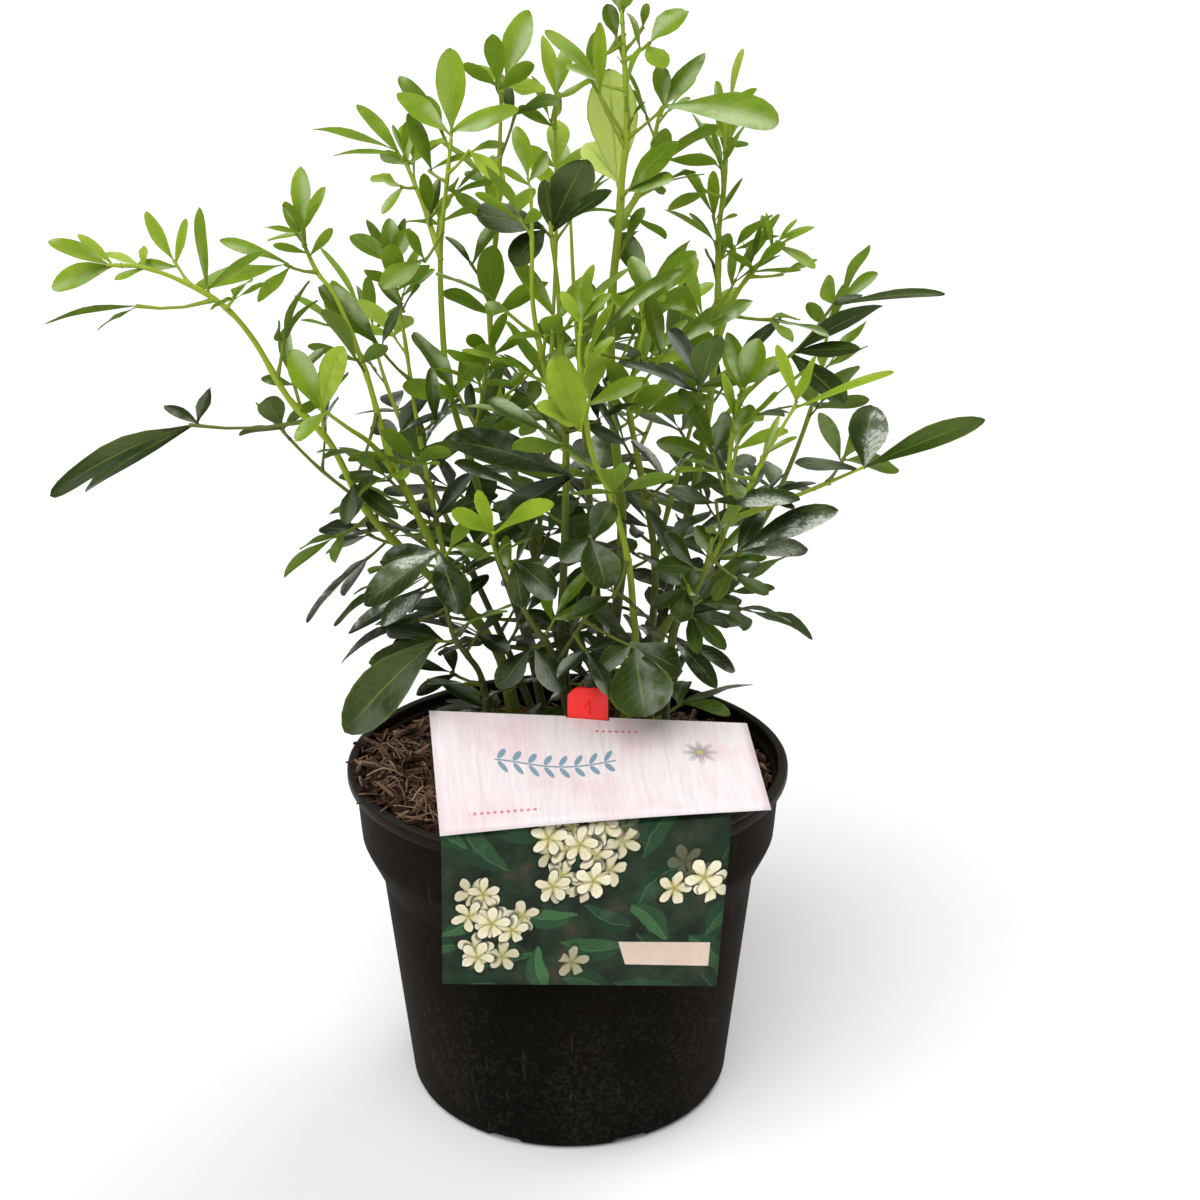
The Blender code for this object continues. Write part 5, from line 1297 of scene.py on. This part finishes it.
def misplaced(shapes):
    # whether a leaf would reach into the pot, hang too far down outside it, or leave the solids' box
    low, high = [corner / mm for corner in cadBox]
    room = growth["margin"]
    for point in (point for rings in shapes for ring in rings for point in ring):
        over = point.xy.length < pot["rimR"] + growth["pastRim"]
        lowest = pot["rimZ"] + (growth["overRim"] if over else -growth["hang"])
        if point.z < lowest or any(point[i] < low[i] - room or point[i] > high[i] + room for i in range(3)):
            return True
    return False


def inTheClear(leaf):
    # whether a leaf would fill a place where the background shows through
    places = [inView(onBlade(leaflet, t)[0]) for leaflet in leaf["leaflets"] for t in (0, 0.5, 1)]
    gaps = [(Vector((x, y)), radius) for x, y, radius in growth["clear"]]
    return any((place - middle).length < radius for middle, radius in gaps for place in places)


def shootPaths(stem):
    # the path of each shoot, the first from down in the compost
    x, y = stem["root"]
    paths = []
    for shoot in stem["shoots"]:
        points = [Vector(point) for point in shoot.get("points", [])]
        points += [seen(*place) for place in shoot.get("path", [])]
        if not paths:
            top = soilHeight(x, y) + growth["rise"]
            points = [Vector((x, y, soil["z"] - growth["rootDepth"])), Vector((x, y, top))] + points
        paths.append(points)
    return paths


def stemShapes(stem, paths):
    thick, sides = stem["thick"], growth["stemSides"]
    foot = tubeRings(paths[0][:2], thick, thick, sides)
    shapes = [foot[:1] + tubeRings(paths[0][1:], thick, growth["stemEnd"], sides)]
    for path in paths[1:]:
        shapes.append(tubeRings(path, thick * growth["branchShare"], growth["branchEnd"], sides - 1))
    return shapes


def sideOf(way):
    # a direction across a shoot, from which its leaves are turned
    return way.cross(Vector((0.31, 0.9, 0.3))).normalized()


def rulePlaces(paths):
    # where the leaves by rule stand: crossed pairs, closer and steeper towards the tip of a shoot
    rng = random.Random(growth["seed"])
    for name, stem in stems.items():
        for path, shoot in zip(paths[name], stem["shoots"]):
            whole = lengthOf(path)
            spot = whole * shoot["leafy"]
            turn = rng.uniform(0, math.tau)
            pairs = []
            number = -1
            foot, less = growth["lean"]
            while spot < whole - growth["bareEnd"]:
                share = (spot / whole - shoot["leafy"]) / (1.001 - shoot["leafy"])
                pairs.append((spot, 1 - share, math.radians(foot - less * share)))
                spot += shoot["pitch"] * (1.15 - growth["closer"] * share)
            top, more = growth["tipLean"]
            for i in range(shoot["tip"]):
                lean = math.radians(top + more * i)
                spot = whole - growth["tipDown"] - growth["tipStep"] * i
                pairs.append((spot, growth["tipAge"], lean))
            for spot, age, lean in pairs:
                turn += math.pi / 2 + rng.uniform(-growth["turn"], growth["turn"])
                start, way = placeOn(path, spot)
                side = sideOf(way)
                size = shoot["size"] * (0.5 + 0.5 * min(1, age * 2))
                for half in (0, math.pi):
                    seed = rng.random()
                    number += 1
                    yield name, number, start, way, side, turn + half, lean, size, age, seed


def lowPlaces(paths):
    # old leaves under the leafy length of each shoot, which only this scene has
    rng = random.Random(growth["seed"] + 1)
    for name, stem in stems.items():
        for path, shoot in zip(paths[name], stem["shoots"]):
            whole = lengthOf(path)
            spot = growth["lowStart"][0 if path is paths[name][0] else 1]
            turn = rng.uniform(0, math.tau)
            while spot < whole * shoot["leafy"]:
                start, way = placeOn(path, spot)
                side, lean = sideOf(way), growth["lowLean"]
                for half in (0, math.pi):
                    size = rng.uniform(*growth["lowSize"])
                    yield name, 0, start, way, side, turn + half, lean, size, 1, rng.random()
                turn += math.pi / 2 + rng.uniform(-growth["lowTurn"], growth["lowTurn"])
                spot += rng.uniform(*growth["lowPitch"])


def growLeaves(paths):
    # leaves as in the solids: those listed, then one in so many by rule. The others follow.
    thicket = Thicket()
    for name in ("pot", "compost", "card", "stake"):
        thicket.addNode(name)
    for name, stem in stems.items():
        thicket.add(name, stemShapes(stem, paths[name]))
    leaves = {name: [] for name in stems}

    def fits(name, leaf, gap):
        shapes = leafShapes(leaf, gap)
        if misplaced(shapes) or thicket.hits(shapes, name):
            return False
        thicket.add(name + "_leaf", leafShapes(leaf))
        leaves[name].append(leaf)
        return True

    def setOut(entries, gap):
        # the leaves that only this scene has may lose leaflets to fit
        whole = entries == "leaves"
        for name, stem in stems.items():
            pieces = [pair for path in paths[name] for pair in zip(path[1:], path[2:])]
            points = [a.lerp(b, i / 8) for a, b in pieces for i in range(9)]
            for i, (fromPlace, hubPlace, tips, *look) in enumerate(stem.get(entries, [])):
                look = look[0] if look else {}
                tries = [tips] if whole else [tips, tips[:-1], tips[1:], tips[:1], tips[-1:]]
                for kept, shift in itertools.product(filter(None, tries), growth["shifts"]):
                    rng = random.Random(growth["seed"] + i)
                    leaf = setLeaf(points, fromPlace, hubPlace, kept, look, shift, rng)
                    leaf["joined"] = 0 if whole else growth["joined"]
                    if fits(name, leaf, gap):
                        break

    setOut("leaves", growth["gap"])
    nudges = ((0, 1), (0.35, 0.9), (-0.35, 0.9), (0.7, 0.75), (-0.7, 0.75))
    for places, extra in ((rulePlaces, False), (rulePlaces, True), (lowPlaces, True)):
        if extra and places is rulePlaces:
            setOut("more", growth["smallGap"])
        for name, number, start, way, side, turn, lean, size, age, seed in places(paths):
            if places is rulePlaces and bool(number % growth["placesStep"]) != extra:
                continue
            for nudge, rise in nudges:
                out = Matrix.Rotation(turn + nudge, 3, way) @ side
                angle = lean * rise * (growth["close"] if extra and start.z > growth["upright"] else 1)
                aim = (way * math.cos(angle) + out * math.sin(angle)).normalized()
                leaf = grownLeaf(start, way, aim, size, age, random.Random(seed))
                if extra:
                    leaf["slim"] = growth["slim"]
                    if inTheClear(leaf):
                        continue
                if fits(name, leaf, growth["smallGap"] if extra else growth["gap"]):
                    break
        print("leaves placed:", sum(len(of) for of in leaves.values()))
    return leaves


leafLook = {
    "rows": (0, 0.12, 0.27, 0.42, 0.57, 0.7, 0.82, 0.915, 0.975, 1), "columns": 4,
    "small": 19,  # leaflets under this length are plainer and a little narrower
    "smallRows": (0, 0.2, 0.42, 0.62, 0.8, 0.93, 1), "smallColumns": 2, "smallWidth": 0.84,
    "thick": 0.34,
    "widest": 0.6, "blunt": (0.5, 0.68),
    "twist": 0.22, "curl": (0.04, 0.16), "wave": (0.02, 0.09), "waves": (5, 9),
    "toneTop": 380, "toneLow": 225,  # heights where leaves are young and old
    "spread": 0.22, "leafletSpread": 0.05,  # how far leaves at one height differ, and leaflets of a leaf
    "behind": 0.3,  # how much darker in tone they get towards the back
    "youngTips": 0.34, "palest": 0.08,
    "stemShare": 0.8,  # of the thickness that the solids have
    "stemEnd": 0.85, "branchShare": 0.62, "branchEnd": 0.75, "stemSides": 8, "curveSteps": 6,
    "stemAhead": 35,  # a stem has the tone of leaves this much higher
    "swelling": 1.2, "swollen": 3,  # how much thicker and how far from a leaf's start
    # a stalk's radii at shares of its length, how far it sags and its size by age
    "stalk": ((0, 1.9), (0.12, 1.25), (0.4, 0.85), (0.7, 0.85), (1, 1.15)),
    "sag": (0.02, 0.08), "stalkSize": (0.5, 0.35),
}


def addLayers(bm):
    # what the leaf and stem materials read: the place on a leaflet, a tone and a shade
    bm.loops.layers.uv.new("leaf")
    return [bm.verts.layers.float.new(name) for name in ("tone", "shade")]


def leafTemplate(rows, columns):
    # a flat leaflet: across x from -1 to 1, along y from 0 to 1, upper skin at z 0 and lower at -1
    bm = bmesh.new()
    bmesh.ops.create_grid(bm, x_segments=columns, y_segments=len(rows) - 1, size=1)
    for vert in bm.verts:
        vert.co.y = rows[round((vert.co.y + 1) / 2 * (len(rows) - 1))]
    bmesh.ops.solidify(bm, geom=bm.faces[:], thickness=1)
    top = max(vert.co.z for vert in bm.verts)
    bmesh.ops.translate(bm, vec=(0, 0, -top), verts=bm.verts)
    bmesh.ops.recalc_face_normals(bm, faces=bm.faces)
    addLayers(bm)
    uv = bm.loops.layers.uv["leaf"]
    for face in bm.faces:
        face.material_index = 2 if face.calc_center_median().z < -0.9 else 1
        for loop in face.loops:
            loop[uv].uv = ((loop.vert.co.x + 1) / 2, loop.vert.co.y)
    return bm


def outlineAt(t, blunt):
    # half the leaflet's width: a long narrow base, widest past the middle, a blunt tip
    widest = leafLook["widest"]
    if t < widest:
        return 0.06 * (1 - t) + math.sin(math.pi / 2 * t / widest) ** 1.35
    return (1 - ((t - widest) / (1 - widest)) ** 2.1) ** blunt


def leafletMesh(templates, leaflet, tone, film, slim, rng):
    small = leaflet["length"] < leafLook["small"]
    bm = templates[small].copy()
    toneLayer, shadeLayer = bm.verts.layers.float["tone"], bm.verts.layers.float["shade"]
    side = leaflet["along"].cross(leaflet["face"])
    half = leaflet["width"] / 2 * (leafLook["smallWidth"] if small else 1) * slim
    shade, blunt = rng.random(), rng.uniform(*leafLook["blunt"])
    shade = shade if film is None else film
    phase, waves = rng.uniform(0, 6), rng.uniform(*leafLook["waves"])
    wave = rng.uniform(*leafLook["wave"])
    twist = rng.gauss(0, leafLook["twist"])
    curl = rng.uniform(*leafLook["curl"])
    tone += rng.gauss(0, leafLook["leafletSpread"])
    for vert in bm.verts:
        x, t, under = vert.co
        rib, upright = onBlade(leaflet, t)
        turn = Matrix.Rotation(twist * t, 3, leaflet["along"])
        across, upright = turn @ side, turn @ upright
        out = half * outlineAt(t, blunt) * x
        lift = abs(out) * math.sin(leaflet["fold"]) - curl * half * x * x * outlineAt(t, blunt)
        lift += wave * leaflet["width"] * math.sin(waves * t + phase + (1.7 if x > 0 else 0)) * x * x
        skin = leafLook["thick"] / 2 * (1 - x**4)
        lift += skin if under > -0.5 else -skin
        vert.co = (rib + across * (out * math.cos(leaflet["fold"])) + upright * lift) * mm
        vert[toneLayer] = tone
        vert[shadeLayer] = shade
    bmesh.ops.remove_doubles(bm, verts=bm.verts, dist=0.03 * mm)
    return bm


def stalkMesh(leaf, tone, rng, nearest):
    # the stalk leaves its stem in a small flare and bends into its leaflets
    start, hub = nearest, leaf["stalk"][1]
    inner = hub + (start - hub).normalized() * 0.3
    sag = Vector((0, 0, -1)) * (hub - start).length * rng.uniform(*leafLook["sag"])
    path = [start.lerp(inner, t) + sag * math.sin(math.pi * t) for t, k in leafLook["stalk"]]
    young, more = leafLook["stalkSize"]
    size = young + more * leaf["age"]
    bm = sweep(path, [size * k for t, k in leafLook["stalk"]], 5)
    return painted(bm, tone, rng.random())


def painted(bm, tone, shade):
    # a tube in a tone, or in one that depends on the height
    tones, shades = addLayers(bm)
    for vert in bm.verts:
        vert[tones] = tone(vert.co.z / mm) if callable(tone) else tone
        vert[shades] = shade
    return bm


def toneAt(height):
    share = between((leafLook["toneTop"] - height) / (leafLook["toneTop"] - leafLook["toneLow"]))
    return share * share * (3 - 2 * share)


def leafMaterial(name, under):
    # the blade: colour by age, painted shade along the midrib and towards the base, a faint paler midrib
    # and side veins, glossy above with a pale film, partly a painted sheen, on some leaves and painted
    # glare on some old leaves, matt below. Light that comes through is yellower.
    material, w, connect = newMaterial(name, {
        "Specular IOR Level": 0.17 if under else 0.25,
        "Specular Tint": (0.84, 1, 0.38, 1),
    })
    x, y = w.make("ShaderNodeUVMap", {"uv_map": "leaf"}, out="UV").parts()[:2]
    place = objectPlace(w)
    tone, shade = attribute(w, "tone"), attribute(w, "shade")
    out = (x - 0.5).maths("ABSOLUTE") * 2
    flip = (x - 0.5).maths("SIGN") * 0.2
    wander = place.noise(140, 2)
    pulse = ((y * 8 - out * 2.2 + flip + wander * 0.9).maths("FRACT") - 0.5).maths("ABSOLUTE")
    veins = pulse.ease(0.16, 0.02) * out.ease(1, 0.5) * (0.5 + wander)
    midrib = out.ease(0.07, 0.02) * y.ease(1.02, 0.6)
    net = place.cells(1300, "DISTANCE_TO_EDGE").ease(0.12, 0.02)
    mottle = place.noise(220, 4, 0.6)
    crinkle = place.noise(420, 3, 0.55)
    cloud = place.noise(55, 3, 0.55)
    age = (tone + (shade - 0.5) * 0.2 + (mottle - 0.5) * 0.2) * 0.8 + 0.2  # below 0.2 a leaf is pale
    if under:
        colour = age.ramp((0, (0.5, 0.58, 0.2)), (0.2, (0.27, 0.4, 0.03)), (0.6, (0.18, 0.27, 0.035)),
                          (1, (0.08, 0.125, 0.035)))
        lines = (0.4, 0.5, 0.14)
    else:
        colour = age.ramp((0, (0.8, 0.9, 0.27)), (0.14, (0.45, 0.56, 0.065)), (0.28, (0.305, 0.43, 0.027)),
                          (0.46, (0.148, 0.242, 0.009)), (0.68, (0.032, 0.06, 0.004)),
                          (1, (0.011, 0.017, 0.008)))
        lines = (0.26, 0.36, 0.04)
    # painted shade: darker along the midrib, where the blade folds, and towards its base, with darker
    # blotches over it and less of it on pale leaves
    deep = (out.ease(0.9, 0.1) * y.ease(0.9, 0.15) * 0.45 + cloud.ease(0.55, 0.38) * 0.55) * 0.52
    colour = (deep * age.ease(-0.08, 0.3)).blend(colour, (0.28, 0.36, 0.25), "MULTIPLY")
    colour = (mottle.ease(0.42, 0.66) * 0.3).blend(colour, (0.22, 0.36, 0.08), "SOFT_LIGHT")
    colour = layered(
        colour,
        ((veins * 0.1 + net * 0.055) * age.ease(1, 0.25), lines),
        (midrib * (0.5 - age * 0.28), lines),
        (out.ease(0.86, 1) * (0.4 - age * 0.26), lines),
    )
    height = mottle * 0.45 + crinkle * 0.26 - veins * 0.14 - midrib * 0.4 - net * 0.05 + cloud * 0.8
    rough = (0.6 if under else 0.36) - age * (0 if under else 0.17) + mottle * 0.14
    if not under:
        # a pale film, partly a waxy bloom and partly a painted sheen: stronger on one half of the blade, as
        # a painted reflection of the light there, and faint on the veins
        turned = ((shade * 7).maths("FRACT") - 0.5).maths("SIGN")
        half = ((x - 0.5) * turned).ease(-0.25, 0.3)
        speckle = place.noise(900, 3, 0.7).ease(0.35, 0.6)
        film = cloud.ease(0.4, 0.62) * half * (0.75 + speckle * 0.25) + (veins + midrib) * 0.07
        young = (film * shade.ease(0.3, 0.8) * 0.75).blend(colour, (0.62, 0.74, 0.42))
        old = (film * shade.ease(0.05, 0.75) * 0.62).blend(colour, (0.34, 0.38, 0.32))
        colour = tone.ease(0.4, 0.7).blend(young, old)
        # painted glare: near-white speckled patches on a few old leaves
        glare = cloud.ease(0.48, 0.6) * shade.ease(0.83, 0.92) * tone.ease(0.45, 0.6) * (0.3 + half * 0.7)
        glare = (glare * (0.35 + speckle * 0.65) * (1 - veins * 0.8)).ease(0.15, 0.75)
        colour = (glare * 0.7).blend(colour, (0.66, 0.69, 0.63))
        rough = rough + film * 0.1 + glare * 0.2
    connect(colour=colour, rough=rough, normal=height.bump(0.0006, 0.55))
    tree = material.node_tree
    through = w.make("ShaderNodeBsdfTranslucent", {}, {"Color": (0.44, 0.64, 0.01, 1)})
    share = 0.36 - tone.ease(-0.2, 1) * 0.33
    lit = w.make("ShaderNodeMixShader", {}, {0: share, 1: w.of("Principled BSDF"), 2: through})
    tree.links.new(lit.socket, tree.nodes["Material Output"].inputs["Surface"])
    return material


def stemMaterial():
    # young stems are smooth and lime green, old ones dull olive with fine lengthwise marks
    material, w, connect = newMaterial("stemSkin", {"Specular IOR Level": 0.3})
    place = objectPlace(w)
    tone, shade = attribute(w, "tone"), attribute(w, "shade")
    streak = place.stretched((1, 1, 0.12)).noise(900, 4, 0.65)
    spots = place.noise(420, 4, 0.6)
    age = tone + (shade - 0.5) * 0.15 + (spots - 0.5) * 0.2
    colour = layered(
        age.ramp((0, (0.29, 0.385, 0.02)), (0.5, (0.155, 0.205, 0.012)), (0.82, (0.078, 0.094, 0.012)),
                 (1, (0.045, 0.052, 0.009))),
        (streak.ease(0.5, 0.72) * 0.25, (0.3, 0.33, 0.1)),
        (spots.ease(0.62, 0.72) * age.ease(0.6, 1) * 0.5, (0.06, 0.04, 0.02)),
    )
    connect(colour=colour, rough=0.48 + streak * 0.15, normal=(streak + spots).bump(0.0003, 0.5))
    return material


def ofLeaflet(value, i):
    # tone and film with sheen may be given for each leaflet
    return value[i] if isinstance(value, tuple) else value


def leafTone(leaf, stem, rng):
    # the tone given, or one by height, depth and distance from the shoot's tip
    if leaf["tone"] is not None:
        return leaf["tone"]
    hub = leaf["stalk"][1]
    tone = toneAt(hub.z) + stem.get("tone", 0) - leafLook["youngTips"] * (1 - leaf["age"])
    tone += rng.gauss(0, leafLook["spread"])
    tone += leafLook["behind"] * between(hub.y / 60)
    return between(tone, leafLook["palest"])


def shootTube(curve, thick, thin, starts):
    # swollen a little where leaves start, with a small blunt end
    radii = []
    for k, point in enumerate(curve):
        radius = (thick + (thin - thick) * k / (len(curve) - 1)) * leafLook["stemShare"]
        swollen = any((start - point).length < leafLook["swollen"] for start in starts)
        radii.append(radius * (leafLook["swelling"] if swollen else 1))
    end = curve[-1] + (curve[-1] - curve[-2]).normalized() * 1.5
    return sweep(curve + [end], radii + [0.3], leafLook["stemSides"])


def leafyStem(stem, paths, leaves, templates, rng):
    bm = bmesh.new()
    addLayers(bm)
    curves = []
    starts = [leaf["stalk"][0] for leaf in leaves]

    def skinTone(height):
        return between(toneAt(height + leafLook["stemAhead"]) + stem.get("lime", 0))

    for i, path in enumerate(paths):
        if i:
            curve = smoothPath(path, leafLook["curveSteps"])
            thick, thin = stem["thick"] * leafLook["branchShare"], leafLook["branchEnd"]
        else:  # the first one goes straight down into the compost
            curve = [path[0]] + smoothPath(path[1:], leafLook["curveSteps"])
            thick, thin = stem["thick"], leafLook["stemEnd"]
        curves += curve
        tube = shootTube(curve, thick, thin, starts)
        pour(bm, painted(tube, skinTone, rng.random()))
    for leaf in leaves:
        tone = leafTone(leaf, stem, rng)
        nearest = min(curves, key=lambda p: (p - leaf["stalk"][0]).length)
        pour(bm, stalkMesh(leaf, min(ofLeaflet(tone, 0), 0.7), rng, nearest))
        slim = leaf["slim"] * stem.get("slim", 1)
        for i, leaflet in enumerate(leaf["leaflets"]):
            look = ofLeaflet(tone, i), ofLeaflet(leaf["film"], i), slim
            pour(bm, leafletMesh(templates, leaflet, *look, rng))
    return bm


def makeShrub():
    paths = {name: shootPaths(stem) for name, stem in stems.items()}
    leaves = growLeaves(paths)
    templates = (leafTemplate(leafLook["rows"], leafLook["columns"]),
                 leafTemplate(leafLook["smallRows"], leafLook["smallColumns"]))
    materials = [stemMaterial(), leafMaterial("leafUpper", False), leafMaterial("leafUnder", True)]
    for number, (name, stem) in enumerate(stems.items()):
        rng = random.Random(growth["seed"] + 100 * number)
        bm = leafyStem(stem, paths[name], leaves[name], templates, rng)
        keepPiece("leafy_" + name, bm, materials, [name], sharp=75)
    for template in templates:
        template.free()
    print("shrub made")


# Studio

def makeStudio():
    scene = bpy.context.scene
    scene.view_settings.view_transform = "Standard"
    bm = bmesh.new()
    bmesh.ops.create_grid(bm, x_segments=1, y_segments=1, size=30)
    mesh = bpy.data.meshes.new("floor")
    bm.to_mesh(mesh)
    bm.free()
    pale, w, connect = newMaterial("paleFloor", {"Roughness": 0.9, "Specular IOR Level": 0.1})
    soft = objectPlace(w).noise(6, 2)
    connect(colour=soft.blend((0.82, 0.82, 0.82), (0.84, 0.84, 0.84)))
    mesh.materials.append(pale)
    floor = bpy.data.objects.new("floor", mesh)
    scene.collection.objects.link(floor)
    world = bpy.data.worlds.new("studio")
    world.use_nodes = True
    background = world.node_tree.nodes["Background"]
    background.inputs["Color"].default_value = (1, 0.985, 0.96, 1)
    direct = Wire(world.node_tree).make("ShaderNodeLightPath", out="Is Camera Ray")
    # white past the floor's edge, and a softer light on everything
    world.node_tree.links.new((direct + 0.31).socket, background.inputs["Strength"])
    scene.world = world
    for name, place, spread, strength in (
        ("key", (-0.5, -0.85, 1.5), 60, 2.95),
        ("back", (0.9, 1.0, 1.7), 40, 1.35),
    ):
        light = bpy.data.lights.new(name, "SUN")
        light.angle = math.radians(spread)
        light.energy = strength
        lamp = bpy.data.objects.new(name, light)
        lamp.location = place
        lamp.rotation_euler = (-Vector(place)).to_track_quat("-Z", "Y").to_euler()
        scene.collection.objects.link(lamp)
    camera = bpy.data.cameras.new("camera")
    camera.sensor_width = 36
    camera.lens = camera.sensor_width * view["focus"] / (2 * view["middle"])
    eye = bpy.data.objects.new("camera", camera)
    eye.location = viewAxes()[0] * mm
    eye.rotation_euler = (math.radians(90) - view["tilt"], 0, 0)
    scene.collection.objects.link(eye)
    scene.camera = eye
    print("studio made")


makeStudio()
makePot()
makeCompost()
makeCard()
makeStake()
makeShrub()
